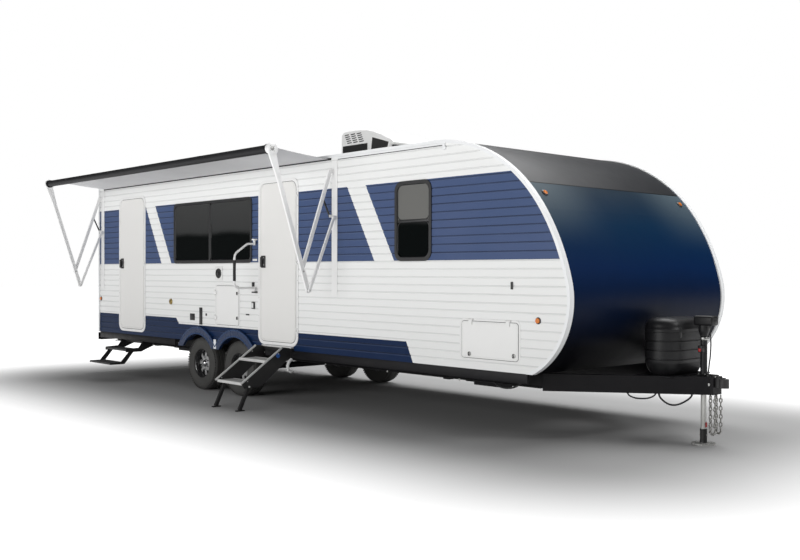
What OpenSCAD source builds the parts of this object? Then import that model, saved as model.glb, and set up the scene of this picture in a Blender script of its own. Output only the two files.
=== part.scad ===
// Travel trailer on two close-set axles, parked on its tongue jack.
// Side view of the body: floor, straight roof and a nose of three tangent arcs.
// X runs forward to the coupler, Y to the left (road side), Z up.  The origin is
// the centre of the hitch-ball socket.  Millimetres.

/* [Body] */
// Width over the side walls
body_w = 2438; // [2200:1:2600]
// Height of the walls' bottom edge over the ground
floor_z = 614; // [560:1:660]
// Height of the roof edge over the ground
roof_z = 2717; // [2600:1:2900]
// Distance from the rear wall to where the nose begins
straight_l = 7060; // [6400:10:8600]
// Thickness of the side, rear and roof-edge framing
wall_t = 50; // [38:1:60]
// Thickness of the moulded front cap
cap_t = 30; // [20:1:40]
// Thickness of the floor
floor_t = 76; // [60:1:90]
// Thickness of the roof at its edge
roof_t = 70; // [50:1:90]
// Rise of the bowed roof along its centre line
roof_crown = 80; // [40:1:110]

/* [Nose] */
// Radius of the upper nose arc
nose_r1 = 1550; // [1500:5:1600]
// Radius of the middle nose arc
nose_r2 = 1925; // [1850:5:2000]
// Radius of the lower nose arc
nose_r3 = 705; // [680:5:730]
// Turn of the profile at the end of the upper arc, degrees
nose_a1 = 56; // [50:1:60]
// Turn of the profile at the end of the middle arc, degrees
nose_a2 = 76; // [70:1:80]
// Turn of the profile at the seam of the two cap mouldings, degrees
cap_seam_a = 44.4; // [38:0.1:48]

/* [Siding] */
// Height of one siding course
lap_h = 76; // [60:1:90]
// Depth of the groove under each course
lap_groove = 5; // [3:1:8]

/* [Running gear] */
// Outer radius of a tyre
tyre_r = 332; // [310:1:345]
// Width of a tyre
tyre_w = 205; // [175:1:215]
// Radius of the rim's bead seat
rim_r = 178; // [165:1:190]
// Distance from the rear wall to the middle of the axle pair
axles_x = 3230; // [2900:5:3600]
// Distance between the two axles
axle_gap = 854; // [800:1:900]
// Setback of the tyre's outer face from the wall face
tyre_inset = 29; // [20:1:45]
// Radius of each wheel arch
arch_r = 440; // [425:1:455]
// Height of each arch's top over the ground
arch_top = 705; // [695:1:720]
// Width of the skirt round the arches
skirt_w = 95; // [70:1:98]

/* [Chassis] */
// Depth of the main rails and the tongue rails
rail_h = 152; // [127:1:180]
// Width of a rail's flanges
rail_w = 70; // [60:1:80]
// Distance of each main rail's middle from the centre plane
rail_y = 900; // [860:1:910]
// Side of the square bumper tube
bumper_s = 102; // [90:1:110]

/* [Hitch] */
// Distance of the ball socket ahead of the nose tip
hitch_reach = 695; // [650:5:800]
// Height of the ball socket's middle over the ground
hitch_z = 530; // [500:1:560]
// Radius of the ball socket (2-5/16 inch ball)
socket_r = 29.4; // [25.4:0.1:29.4]
// Depth of the ball socket
socket_l = 55; // [45:1:60]
// Distance of the jack's post behind the socket
jack_back = 190; // [170:1:220]

/* [Doors] */
// Width of the wall opening for an entry door
door_w = 730; // [660:1:760]
// Height of the wall opening for an entry door
door_h = 1835; // [1750:1:1900]
// Rear edge of the front door's opening, from the rear wall
front_door_x = 4150; // [4100:5:4300]
// Rear edge of the rear door's opening, from the rear wall
rear_door_x = 655; // [600:5:700]
// Thickness of an entry door
door_t = 40; // [32:1:45]
// Gap round an entry door
door_gap = 6; // [5:1:8]
// Corner radius of an entry door's opening
door_r = 100; // [50:1:110]

/* [Compartment doors] */
// Length of the front baggage doors
bag_l = 730; // [600:1:760]
// Height of the front baggage doors
bag_h = 380; // [300:1:400]
// Rear edge of the baggage doors, from the rear wall
bag_x = 7380; // [7300:5:7400]
// Length of the utility hatch over the wheels
hatch_l = 560; // [450:1:580]
// Height of the utility hatch
hatch_h = 524; // [400:1:540]
// Rear edge of the utility hatch, from the rear wall
hatch_x = 3180; // [3120:5:3200]
// Corner radius of the openings for the lids
lid_r = 56; // [40:1:60]

/* [Windows] */
// Length of the long sliding window
long_win_l = 1782; // [1500:1:1800]
// Rear edge of the long window, from the rear wall
long_win_x = 2195; // [2150:5:2300]
// Length of the bedroom window
bed_win_l = 485; // [400:1:520]
// Rear edge of the bedroom window, from the rear wall
bed_win_x = 6506; // [6400:5:6520]
// Height of the windows
win_h = 745; // [600:1:760]
// Height of the windows' lower edge over the ground
win_z = 1611; // [1560:1:1700]
// Corner radius of the sliding windows
long_r = 50; // [40:1:60]
// Corner radius of the bedroom window
bed_r = 80; // [60:1:90]
// Width of a window's clamping frame
win_frame = 34; // [25:1:40]

/* [Awning] */
// Rear arm set, from the rear wall
awning_x0 = 113; // [100:1:200]
// Distance between the two arm sets
awning_l = 5427; // [4800:1:5500]
// Length of the wall arm between its pins
wall_arm_l = 1124; // [1050:1:1150]
// Length of the outer arm from elbow pin to roller
outer_arm_l = 1290; // [1250:1:1320]
// Length of the outer arm's tail below its elbow pin
tail_l = 206; // [180:1:220]
// Lean of the wall arm from the wall, degrees
wall_arm_a = 19.4; // [15:0.1:22]
// Lean of the outer arm from the wall, degrees
outer_arm_a = 18.1; // [14:0.1:20]
// Radius of the rolled fabric tube
roller_r = 42; // [38:1:45]

/* [Hidden] */
$fn = 96;

eps = 0.3;                       // seat between pieces that face each other
cut = 1;                         // overshoot of a cutting solid
half_w = body_w / 2;
inner_y = half_w - wall_t;

// nose arcs: centre and radius of each, from the tangent at the roof
c1 = [straight_l, roof_z - nose_r1];
c2 = c1 + (nose_r1 - nose_r2) * turn(nose_a1);
c3 = c2 + (nose_r2 - nose_r3) * turn(nose_a2);
nose_a3 = acos((floor_z - c3[1]) / nose_r3);
nose_tip_x = c3[0] + nose_r3;
function turn(a) = [sin(a), cos(a)];

hitch_x = nose_tip_x + hitch_reach;
jack_x = hitch_x - jack_back;
tongue_z = floor_z - rail_h - 20;      // underside of the tongue rails
rail_z = floor_z - rail_h;             // underside of the main rails

// running gear
wheel_y = half_w - tyre_inset - tyre_w / 2;
arch_z = arch_top - arch_r;
well_y = wheel_y - tyre_w / 2 - 55;    // inner side of a wheel well
well_top = arch_top + 30;
well_l = axle_gap + 2 * sqrt(pow(arch_r, 2) - pow(floor_z - arch_z, 2)) + 60;
spindle_r = 20;
spindle_play = 0.3;

// entry doors
door_z = floor_z + 66;
jamb = 12;
flange = 22;
hinge_out = 12;                        // hinge pin stands this far off the wall face
hinge_r = 6;
hinge_pin_r = 3;
hinge_play = 0.2;
hinge_l = 26;
door_proud = 7;

// compartment doors
bag_z = floor_z + 76;
hatch_z = arch_top + skirt_w + 20;
lid_t = 30;
lid_proud = 4;
lid_gap = 5;
lid_frame = 20;

// windows
win_lap = 16;                          // the clamping frame laps this far over the wall
win_bar = 16;                          // half the width of the long window's middle bar
long_split = 0.485;
left_win_x = 4700;
left_win_l = 900;

// awning linkage, in the plane [distance off the wall, height]
pin_a = [40, roof_z - 164];
pin_b = [35, pin_a[1] - 495];
pin_c = pin_a + wall_arm_l * [sin(wall_arm_a), -cos(wall_arm_a)];
pin_d = pin_c - tail_l * turn(outer_arm_a);
pin_r = pin_c + outer_arm_l * turn(outer_arm_a);
strut_top = pin_a + 280 * [sin(wall_arm_a), -cos(wall_arm_a)];
strut_foot = [30, pin_b[1] + 20];
arm_w = 46;                            // width of the outer arm
wall_arm_w = 38;
brace_w = 28;
arm_t = 21;
arm_pitch = 27;                        // wall arm, outer arm and brace lie side by side
head_r = 50;                           // round head of the outer arm, over the roller's end
awning_pin_r = 5;
strut_side = arm_pitch + arm_t / 2 + 6;  // the strut's inner face, from the middle of the arm set
rail_low = roof_z - 45;
rail_top = roof_z - 23;
rail_out = 14;

// steps
tread_w = 520;
stair_x = front_door_x + 130;

module place() { translate([-hitch_x, 0, -hitch_z]) children(); }
// XZ outline pushed along Y between two planes
module along_y(y0, y1) {
    translate([0, y1, 0]) rotate([90, 0, 0]) linear_extrude(height = y1 - y0) children();
}
// [off the wall, height] outline of the right side pushed along X
module along_x(x0, x1) {
    translate([x0, -half_w, 0]) rotate([90, 0, 90]) linear_extrude(height = x1 - x0)
        mirror([1, 0]) children();
}
module box(x, y, z) { translate([x[0], y[0], z[0]]) cube([x[1] - x[0], y[1] - y[0], z[1] - z[0]]); }
module both_sides() { children(); mirror([0, 1, 0]) children(); }

// ---------- body outline ----------
module wedge(c, r, a0, a1) {
    reach = 2 * r;
    translate(c) intersection() {
        circle(r = r, $fn = 180);
        polygon([[0, 0], reach * turn(a0), reach * turn((a0 + a1) / 2), reach * turn(a1)]);
    }
}
// outline of the body, the same all along Y; each arc runs on a little inside the next,
// and the last one stands proud by a hair, so that it crosses the one before cleanly
blend = 0.05;
module body_outline(inset = 0) {
    deep = 60 + inset;
    intersection() {
        translate([-100, floor_z]) square([nose_tip_x + 200, roof_z]);
        union() {
            polygon(concat([[inset, floor_z - 100], [inset, roof_z - inset], [c1[0], roof_z - inset]],
                [for (a = [8:8:nose_a1]) c1 + (nose_r1 - deep) * turn(a)],
                [for (a = [nose_a2 + 6:10:nose_a3]) c3 + (nose_r3 - deep) * turn(a)],
                [[c3[0], floor_z - 100]]));
            wedge(c1, nose_r1 - inset, -1, nose_a1 + 1);
            wedge(c2, nose_r2 - inset, nose_a1, nose_a2);
            wedge(c3, nose_r3 + blend - inset, nose_a2 - 1, nose_a3 + 15);
        }
    }
}
module band(z0, z1) { translate([-cut, z0]) square([nose_tip_x + 2 * cut, z1 - z0]); }

// ---------- openings shared by walls and what fills them ----------
module rounded(x, z, l, h, r) {
    if (r > 0) {
        translate([x + r, z]) square([l - 2 * r, h]);
        translate([x, z + r]) square([l, h - 2 * r]);
        for (i = [0, 1], k = [0, 1]) translate([x + r + i * (l - 2 * r), z + r + k * (h - 2 * r)]) circle(r = r);
    } else translate([x, z]) square([l, h]);
}
module arches(grow = 0) {
    for (s = [-1, 1]) translate([axles_x + s * axle_gap / 2, arch_z]) circle(r = arch_r + grow);
}
module right_cuts() {
    for (x = [front_door_x, rear_door_x]) rounded(x, door_z, door_w, door_h, door_r);
    rounded(long_win_x, win_z, long_win_l, win_h, long_r);
    rounded(bed_win_x, win_z, bed_win_l, win_h, bed_r);
    rounded(bag_x, bag_z, bag_l, bag_h, lid_r);
    rounded(hatch_x, hatch_z, hatch_l, hatch_h, lid_r);
}
module left_cuts() {
    rounded(long_win_x, win_z, long_win_l, win_h, long_r);
    rounded(left_win_x, win_z, left_win_l, win_h, long_r);
    rounded(bed_win_x, win_z, bed_win_l, win_h, bed_r);
    rounded(bag_x, bag_z, bag_l, bag_h, lid_r);
}

// ---------- chassis ----------
module i_section() {
    web = 7;
    flange_t = 9;
    difference() {
        translate([-rail_w / 2, 0]) square([rail_w, rail_h]);
        for (s = [-1, 1]) translate([s > 0 ? web / 2 : -rail_w / 2 - cut, flange_t])
            square([rail_w / 2 - web / 2 + cut, rail_h - 2 * flange_t]);
    }
}
module chassis() {
    cross_t = 60;
    front = c3[0] + 160;
    color("#1b1c1e") place() {
        both_sides() translate([-60, rail_y, rail_z]) rotate([90, 0, 90])
            linear_extrude(height = front + 60) i_section();
        for (x = [400, 1500, 2300, axles_x - 30, 4250, 5300, 6300, 7300])
            box([x, x + cross_t], [-rail_y + 4, rail_y - 4], [rail_z + 30, floor_z - 9.5]);
        // outriggers out to the walls, and the front cross tube
        both_sides() for (x = [400, 1500, 4250, 5300, 6300, 7300])
            box([x, x + cross_t], [rail_y + 4, half_w - 20], [floor_z - 70, floor_z - eps]);
        box([front - cross_t, front], [-rail_y + 4, rail_y - 4], [rail_z + 10, floor_z - 9.5]);
    }
}
module tongue_rail() {
    // from the front cross tube to the coupler, mirrored for the other side
    start = [c3[0] + 160 + eps, rail_y];
    end = [hitch_x - 100, 38];
    run = end - start;
    rail_t = 64;
    translate([start[0], start[1], tongue_z]) rotate([0, 0, atan2(run[1], run[0])])
        translate([0, -rail_t / 2, 0]) cube([norm(run), rail_t, rail_h]);
}
module tongue_frame() {
    tray = [hitch_x - 650, hitch_x - 320];
    color("#17181a") place() difference() {
        union() {
            both_sides() tongue_rail();
            box([jack_x - 70, hitch_x - 105], [-75, 75], [tongue_z + rail_h - 8, tongue_z + rail_h]);
            box([tray[0], tray[1]], [-330, 330], [tongue_z + rail_h - 6, tongue_z + rail_h + 2]);
            box([hitch_x - 110, hitch_x - 60], [-70, 70], [tongue_z, tongue_z + rail_h - 5]);
        }
        translate([jack_x, 0, tongue_z - cut]) cylinder(r = 30 + eps, h = rail_h + 4 * cut);
        box([c3[0], c3[0] + 160 + eps], [-half_w, half_w], [0, floor_z]);
    }
}
module coupler() {
    head_r = 44;
    color("#202224") place() difference() {
        union() {
            box([hitch_x - 60 + eps, hitch_x], [-38, 38], [hitch_z - 24, hitch_z + 44]);
            translate([hitch_x, 0, hitch_z - socket_l / 2]) cylinder(r = head_r, h = socket_l + 22);
            box([hitch_x - 150, hitch_x], [-34, 34], [hitch_z + 44, hitch_z + 58]);
        }
        translate([hitch_x, 0, hitch_z - socket_l / 2 - cut]) cylinder(r = socket_r, h = socket_l + cut);
        box([hitch_x - 160, hitch_x - 60 + eps], [-80, 80], [0, tongue_z + rail_h + eps]);
    }
}
module rear_bumper() {
    color("#1b1c1e") place() difference() {
        box([-60 - eps - bumper_s, -60 - eps], [-half_w + 60, half_w - 60],
            [rail_z + 25, rail_z + 25 + bumper_s]);
        box([-56 - bumper_s, -64], [-half_w, half_w], [rail_z + 29, rail_z + 21 + bumper_s]);
    }
}

// ---------- shell ----------
module wheel_room(grow) {
    both_sides() box([axles_x - well_l / 2 - grow, axles_x + well_l / 2 + grow],
        [well_y - grow, half_w + cut], [floor_z - cut, floor_z + floor_t + cut]);
}
module floor_panel() {
    color("#26282b") place() difference() {
        along_y(-inner_y + eps, inner_y - eps) difference() {
            intersection() { body_outline(cap_t + eps); band(floor_z, floor_z + floor_t); }
            translate([-cut, 0]) square([wall_t + eps + cut, roof_z]);
        }
        wheel_room(eps);
    }
}
module wheel_wells() {
    shell = 4;
    color("#141517") place() both_sides() difference() {
        box([axles_x - well_l / 2, axles_x + well_l / 2], [well_y, inner_y - eps], [floor_z, well_top]);
        box([axles_x - well_l / 2 + shell, axles_x + well_l / 2 - shell], [well_y + shell, inner_y + cut],
            [floor_z - cut, well_top - shell]);
    }
}
// section through a sided wall, [off the inner face, height]
module siding_section() {
    courses = floor((roof_z - floor_z) / lap_h);
    lip = 9;
    difference() {
        translate([0, floor_z - cut]) square([wall_t, roof_z - floor_z + 2 * cut]);
        for (i = [1:courses]) polygon([
            [wall_t + cut, floor_z + i * lap_h + cut], [wall_t, floor_z + i * lap_h + cut],
            [wall_t - lap_groove, floor_z + i * lap_h], [wall_t - lap_groove, floor_z + i * lap_h - lip],
            [wall_t, floor_z + i * lap_h - 2 * lip], [wall_t + cut, floor_z + i * lap_h - 2 * lip]]);
    }
}
module side_wall(side) {
    difference() {
        intersection() {
            along_y(side > 0 ? inner_y : -half_w, side > 0 ? half_w : -inner_y) body_outline();
            translate([-cut, side * inner_y, 0]) rotate([90, 0, 90])
                linear_extrude(height = nose_tip_x + 2 * cut) mirror([side > 0 ? 0 : 1, 0]) siding_section();
        }
        along_y(side > 0 ? inner_y - cut : -half_w - cut, side > 0 ? half_w + cut : -inner_y + cut) {
            if (side > 0) left_cuts(); else right_cuts();
            arches();
        }
    }
}
module right_wall() { color("#eceef0") place() side_wall(-1); }
module left_wall() { color("#eceef0") place() side_wall(1); }
module rear_wall() {
    color("#eceef0") place() difference() {
        box([0, wall_t], [-inner_y + eps, inner_y - eps], [floor_z, roof_z - roof_t - eps]);
        for (i = [1:floor((roof_z - floor_z) / lap_h)])
            box([-cut, lap_groove], [-half_w, half_w], [floor_z + i * lap_h - 12, floor_z + i * lap_h]);
    }
}
crown_r = (pow(inner_y, 2) + pow(roof_crown, 2)) / (2 * roof_crown);
function crown_z(y) = roof_z + roof_crown - crown_r + sqrt(pow(crown_r, 2) - pow(y, 2));
module roof() {
    fade = 900;
    color("#dfe1e3") place() {
        box([0, straight_l - eps], [-inner_y + eps, inner_y - eps], [roof_z - roof_t, roof_z]);
        intersection() {
            translate([60, 0, roof_z + roof_crown - crown_r]) rotate([0, 90, 0])
                cylinder(r = crown_r, h = straight_l - 120, $fn = 360);
            along_y(-inner_y + 20, inner_y - 20) polygon([[60, roof_z - 10], [60, roof_z + roof_crown + 10],
                [straight_l - fade, roof_z + roof_crown + 10], [straight_l - 80, roof_z - 10]]);
        }
    }
}
module cap_ring() { difference() { body_outline(0); body_outline(cap_t); } }
module cap_zone() { translate([straight_l, floor_z]) square([nose_tip_x, roof_z]); }
module upper_cap() {
    color("#3a3d42") place() along_y(-inner_y + eps, inner_y - eps)
        intersection() { cap_ring(); wedge(c1, nose_r1 + 50, 0, cap_seam_a); }
}
module front_cap() {
    color("#15264a") place() along_y(-inner_y + eps, inner_y - eps)
        difference() {
            intersection() { cap_ring(); cap_zone(); }
            wedge(c1, nose_r1 + 50, -5, cap_seam_a + 0.02);
        }
}
module edge_trims() {
    trim_w = 22;
    trim_t = 12;
    cover = 8;
    color("#f4f5f6") place() both_sides() {
        along_y(half_w + eps, half_w + trim_t) difference() { body_outline(-cover); body_outline(trim_w); }
        along_y(inner_y + 5, half_w + trim_t) difference() { body_outline(-cover); body_outline(-eps); }
    }
}
module fender_skirts() {
    lip = 34;
    skirt_z = floor_z - 75;
    color("#1d3a63") place() both_sides() {
        along_y(half_w + eps, half_w + lip) difference() {
            intersection() { arches(skirt_w); translate([0, skirt_z]) square([nose_tip_x, 600]); }
            arches(0);
        }
    }
}

// ---------- running gear ----------
axle_xs = [axles_x - axle_gap / 2, axles_x + axle_gap / 2];
module axle(x) {
    drum_r = 130;
    hub_face = wheel_y - 12;
    color("#242528") place() translate([x, 0, tyre_r]) rotate([90, 0, 0]) {
        cylinder(r = 38, h = 2 * (rail_y + 60), center = true);
        cylinder(r = spindle_r, h = 2 * (wheel_y + 30), center = true);
        for (s = [0, 1]) mirror([0, 0, s]) translate([0, 0, rail_y + 62])
            cylinder(r = drum_r, h = hub_face - rail_y - 72);
    }
}
module front_axle() { axle(axle_xs[1]); }
module rear_axle() { axle(axle_xs[0]); }
module leaf_springs() {
    leaf_w = 44;
    reach = axle_gap / 2 - 60;
    drop = 62;
    color("#2a2b2d") place() both_sides() translate([0, rail_y + leaf_w / 2, 0]) rotate([90, 0, 0])
        linear_extrude(height = leaf_w) {
            for (x = axle_xs) {
                for (i = [0:3]) translate([x - reach + i * 90, tyre_r + 38 + eps + (3 - i) * 8])
                    square([2 * (reach - i * 90), 8.5]);
                for (s = [-1, 1]) translate([x + s * reach, tyre_r + 38 + 28]) circle(r = 15);
            }
            for (x = [axle_xs[0] - reach, axles_x, axle_xs[1] + reach])
                translate([x - 35, tyre_r + 38 + 36]) square([70, rail_z - eps - tyre_r - 38 - 36]);
            translate([axle_xs[0] + reach, tyre_r + 38 + 34]) square([2 * (axle_gap / 2 - reach), 22]);
        }
}
module tyre(x, side) {
    shoulder = 34;
    band_w = tyre_w / 2;
    color("#1a1a1b") place() translate([x, side * wheel_y, tyre_r]) rotate([90, 0, 0])
        rotate_extrude($fn = 120)
        difference() {
            union() {
                translate([rim_r + eps, -band_w + shoulder])
                    square([tyre_r - rim_r - eps, tyre_w - 2 * shoulder]);
                translate([rim_r + eps, -band_w + 12]) square([tyre_r - rim_r - shoulder, tyre_w - 24]);
                for (s = [-1, 1]) {
                    translate([tyre_r - shoulder, s * (band_w - shoulder)]) circle(r = shoulder - 0.5);
                    translate([(rim_r + tyre_r) / 2, s * (band_w - 50)]) circle(r = 50);
                }
            }
            translate([0, -tyre_w]) square([rim_r + eps, 2 * tyre_w]);
        }
}
module rim(x, side) {
    half = 82;
    disc = 26;
    color("#202123") place() translate([x, side * wheel_y, tyre_r]) rotate([side > 0 ? -90 : 90, 0, 0]) {
        difference() {
            rotate_extrude($fn = 120) {
                translate([rim_r - 14, -half]) square([14, 2 * half]);
                translate([spindle_r + spindle_play + 30, disc])
                    square([rim_r - 12 - spindle_r - spindle_play - 30, 9]);
            }
            for (a = [0:45:315]) rotate([0, 0, a]) translate([112, 0, 0]) cylinder(r = 17, h = 90);
        }
        rotate_extrude($fn = 60) translate([spindle_r + spindle_play, -8]) square([32, 74]);
        translate([0, 0, 66 - cut]) cylinder(r = spindle_r + 8, h = 8);
    }
}
module tyre_right_front() { tyre(axle_xs[1], -1); }
module tyre_right_rear() { tyre(axle_xs[0], -1); }
module tyre_left_front() { tyre(axle_xs[1], 1); }
module tyre_left_rear() { tyre(axle_xs[0], 1); }
module rim_right_front() { rim(axle_xs[1], -1); }
module rim_right_rear() { rim(axle_xs[0], -1); }
module rim_left_front() { rim(axle_xs[1], 1); }
module rim_left_rear() { rim(axle_xs[0], 1); }

// ---------- entry doors ----------
door_hinges = [160, door_h / 2, door_h - 160];
module door_outline(x, gap) {
    rounded(x + gap, door_z + gap, door_w - 2 * gap, door_h - 2 * gap, door_r - gap / 2);
}
module entry_door(x) {
    gap = jamb + eps + door_gap;
    pin_x = x + door_w - jamb;
    color("#f1f1ef") place() {
        along_y(-half_w - door_proud, -half_w - door_proud + door_t) door_outline(x, gap);
        for (z = door_hinges) difference() {
            union() {
                translate([pin_x, -half_w - hinge_out, door_z + z - hinge_l / 2])
                    cylinder(r = hinge_r, h = hinge_l);
                box([x + door_w - gap - 24, pin_x], [-half_w - hinge_out - 4, -half_w - door_proud + 2],
                    [door_z + z - hinge_l / 2, door_z + z + hinge_l / 2]);
            }
            translate([pin_x, -half_w - hinge_out, door_z + z - hinge_l])
                cylinder(r = hinge_pin_r + hinge_play, h = 2 * hinge_l);
        }
        // lever handle and its plate
        face = -half_w - door_proud;
        box([x + gap + 40, x + gap + 105], [face - 14, face + 1], [door_z + 860, door_z + 990]);
        box([x + gap + 50, x + gap + 75], [face - 38, face - 13], [door_z + 870, door_z + 980]);
    }
}
module front_door() { entry_door(front_door_x); }
module rear_door() { entry_door(rear_door_x); }
module door_frames() {
    color("#f7f7f7") place() for (x = [front_door_x, rear_door_x]) {
        pin_x = x + door_w - jamb;
        along_y(-half_w - 1, -inner_y) difference() { door_outline(x, eps); door_outline(x, jamb + eps); }
        along_y(-half_w - 5, -half_w - eps) difference() {
            door_outline(x, -flange);
            door_outline(x, jamb + eps);
        }
        for (z = door_hinges, s = [-1, 1]) {
            z0 = door_z + z + (s > 0 ? hinge_l / 2 + eps : -hinge_l / 2 - eps - 14);
            translate([pin_x, -half_w - hinge_out, z0]) cylinder(r = hinge_r, h = 14);
            box([pin_x, pin_x + 30], [-half_w - hinge_out - 3, -half_w - 4], [z0, z0 + 14]);
        }
        for (z = door_hinges) translate([pin_x, -half_w - hinge_out, door_z + z - hinge_l / 2 - 12])
            cylinder(r = hinge_pin_r, h = hinge_l + 24);
    }
}

// ---------- compartment doors ----------
// lid in the wall, hinged along its top edge; side is -1 on the right
module top_lid(side) {
    pin_y = side * (half_w + lid_proud + 6);
    pin_z = bag_z + bag_h - lid_frame / 2;
    face = [half_w + lid_proud - lid_t, half_w + lid_proud];
    ys = side > 0 ? face : [-face[1], -face[0]];
    gap = lid_frame + lid_gap;
    color("#f3f4f4") place() {
        along_y(ys[0], ys[1])
            rounded(bag_x + gap, bag_z + gap, bag_l - 2 * gap, bag_h - 2 * gap, lid_r - gap);
        for (x = [bag_x + 120, bag_x + bag_l - 160]) difference() {
            union() {
                translate([x, pin_y, pin_z]) rotate([0, 90, 0]) cylinder(r = 6, h = 40);
                box([x, x + 40], side > 0 ? [half_w + 2, pin_y + 4] : [pin_y - 4, -half_w - 2],
                    [pin_z - 45, pin_z]);
            }
            translate([x - cut, pin_y, pin_z]) rotate([0, 90, 0]) cylinder(r = 3 + hinge_play, h = 42);
        }
    }
}
module baggage_door_right() { top_lid(-1); }
module baggage_door_left() { top_lid(1); }
module utility_hatch() {
    pin = [hatch_x + lid_frame / 2, -half_w - lid_proud - 6];
    gap = lid_frame + lid_gap;
    color("#f3f4f4") place() {
        along_y(-half_w - lid_proud, -half_w - lid_proud + lid_t)
            rounded(hatch_x + gap, hatch_z + gap, hatch_l - 2 * gap, hatch_h - 2 * gap, lid_r - gap);
        for (z = [hatch_z + 90, hatch_z + hatch_h - 130]) difference() {
            union() {
                translate([pin[0], pin[1], z]) cylinder(r = 6, h = 40);
                box([pin[0], pin[0] + 45], [pin[1] - 4, -half_w - 2], [z, z + 40]);
            }
            translate([pin[0], pin[1], z - cut]) cylinder(r = 3 + hinge_play, h = 42);
        }
    }
}
module lid_surround(x, z, l, h) {
    difference() {
        rounded(x + eps, z + eps, l - 2 * eps, h - 2 * eps, lid_r - eps);
        rounded(x + lid_frame, z + lid_frame, l - 2 * lid_frame, h - 2 * lid_frame, lid_r - lid_frame);
    }
}
module hatch_frames() {
    color("#e6e8ea") place() {
        along_y(-half_w - 2, -inner_y) lid_surround(bag_x, bag_z, bag_l, bag_h);
        along_y(inner_y, half_w + 2) lid_surround(bag_x, bag_z, bag_l, bag_h);
        along_y(-half_w - 2, -inner_y) lid_surround(hatch_x, hatch_z, hatch_l, hatch_h);
        // hinge pins with their ears
        for (side = [-1, 1], x = [bag_x + 120, bag_x + bag_l - 160], k = [0, 1]) {
            pin_y = side * (half_w + lid_proud + 6);
            pin_z = bag_z + bag_h - lid_frame / 2;
            ear = x + (k == 0 ? -12 - eps : 40 + eps);
            box([ear, ear + 12], side > 0 ? [half_w, pin_y + 5] : [pin_y - 5, -half_w], [pin_z - 6, pin_z + 6]);
        }
        for (side = [-1, 1], x = [bag_x + 120, bag_x + bag_l - 160])
            translate([x - 12, side * (half_w + lid_proud + 6), bag_z + bag_h - lid_frame / 2]) rotate([0, 90, 0])
                cylinder(r = 3, h = 64);
        for (z = [hatch_z + 90, hatch_z + hatch_h - 130]) {
            for (k = [0, 1]) {
                ear = z + (k == 0 ? -12 - eps : 40 + eps);
                box([hatch_x + lid_frame / 2 - 6, hatch_x + lid_frame / 2 + 6],
                    [-half_w - lid_proud - 11, -half_w], [ear, ear + 12]);
            }
            translate([hatch_x + lid_frame / 2, -half_w - lid_proud - 6, z - 12]) cylinder(r = 3, h = 64);
        }
    }
}

// ---------- windows ----------
module win_light(x, l, r) {
    edge = win_frame - win_lap;
    rounded(x + edge, win_z + edge, l - 2 * edge, win_h - 2 * edge, r);
}
module window_ring(x, l, r, side) {
    lap = win_lap;
    proud = [half_w, half_w + 9];
    ys = side > 0 ? proud : [-proud[1], -proud[0]];
    inner = side > 0 ? [half_w - 22, half_w + 2] : [-half_w - 2, -half_w + 22];
    along_y(ys[0], ys[1]) difference() {
        rounded(x - lap, win_z - lap, l + 2 * lap, win_h + 2 * lap, r + lap);
        win_light(x, l, r);
    }
    along_y(inner[0], inner[1]) difference() {
        rounded(x + eps, win_z + eps, l - 2 * eps, win_h - 2 * eps, r);
        win_light(x, l, r - 10);
    }
}
module pane(x0, x1, z0, z1, r, side, depth) {
    ys = side > 0 ? [half_w - depth - 5, half_w - depth] : [-half_w + depth, -half_w + depth + 5];
    along_y(ys[0], ys[1]) rounded(x0, z0, x1 - x0, z1 - z0, r);
}
module window_frames() {
    color("#0d0e10") place() {
        for (side = [-1, 1]) {
            window_ring(long_win_x, long_win_l, long_r, side);
            window_ring(bed_win_x, bed_win_l, bed_r, side);
            split = long_win_x + long_split * long_win_l;
            ys = side > 0 ? [half_w - 12, half_w + 7] : [-half_w - 7, -half_w + 12];
            box([split - win_bar, split + win_bar], ys, [win_z + 10, win_z + win_h - 10]);
        }
        window_ring(left_win_x, left_win_l, long_r, 1);
    }
}
module window_glass() {
    edge = win_frame - win_lap + eps;
    split = long_win_x + long_split * long_win_l;
    color("#1a1d20") place() {
        for (side = [-1, 1]) {
            pane(long_win_x + edge, split - win_bar - eps,
                win_z + edge, win_z + win_h - edge, long_r - 10, side, 4);
            pane(split + win_bar + eps, long_win_x + long_win_l - edge,
                win_z + edge, win_z + win_h - edge, long_r - 10, side, 4);
            pane(bed_win_x + edge, bed_win_x + bed_win_l - edge,
                win_z + edge, win_z + win_h - edge, bed_r - 10, side, 4);
        }
        pane(left_win_x + edge, left_win_x + left_win_l - edge,
            win_z + edge, win_z + win_h - edge, long_r - 10, 1, 4);
    }
}

// ---------- roof fittings ----------
module air_conditioner() {
    x0 = 4580;
    x1 = 5520;
    top = 350;
    base = roof_z + roof_crown + eps;
    color("#e4e5e6") place() along_y(-350, 350) polygon([[x0, base], [x0, base + top - 25],
        [x0 + 30, base + top], [x0 + 300, base + top], [x0 + 560, base + top - 40],
        [x1 - 70, base + 190], [x1, base + 110], [x1, base]]);
}
module roof_vents() {
    base = roof_z + roof_crown + eps;
    pipe_y = 500;
    pipe_r = 40;
    color("#e9eaea") place() {
        for (x = [1800, 5950]) box([x, x + 360], [-180, 180], [base, base + 80]);
        translate([3300, pipe_y, crown_z(pipe_y - pipe_r) + eps]) cylinder(r = pipe_r, h = 130);
    }
}

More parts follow.
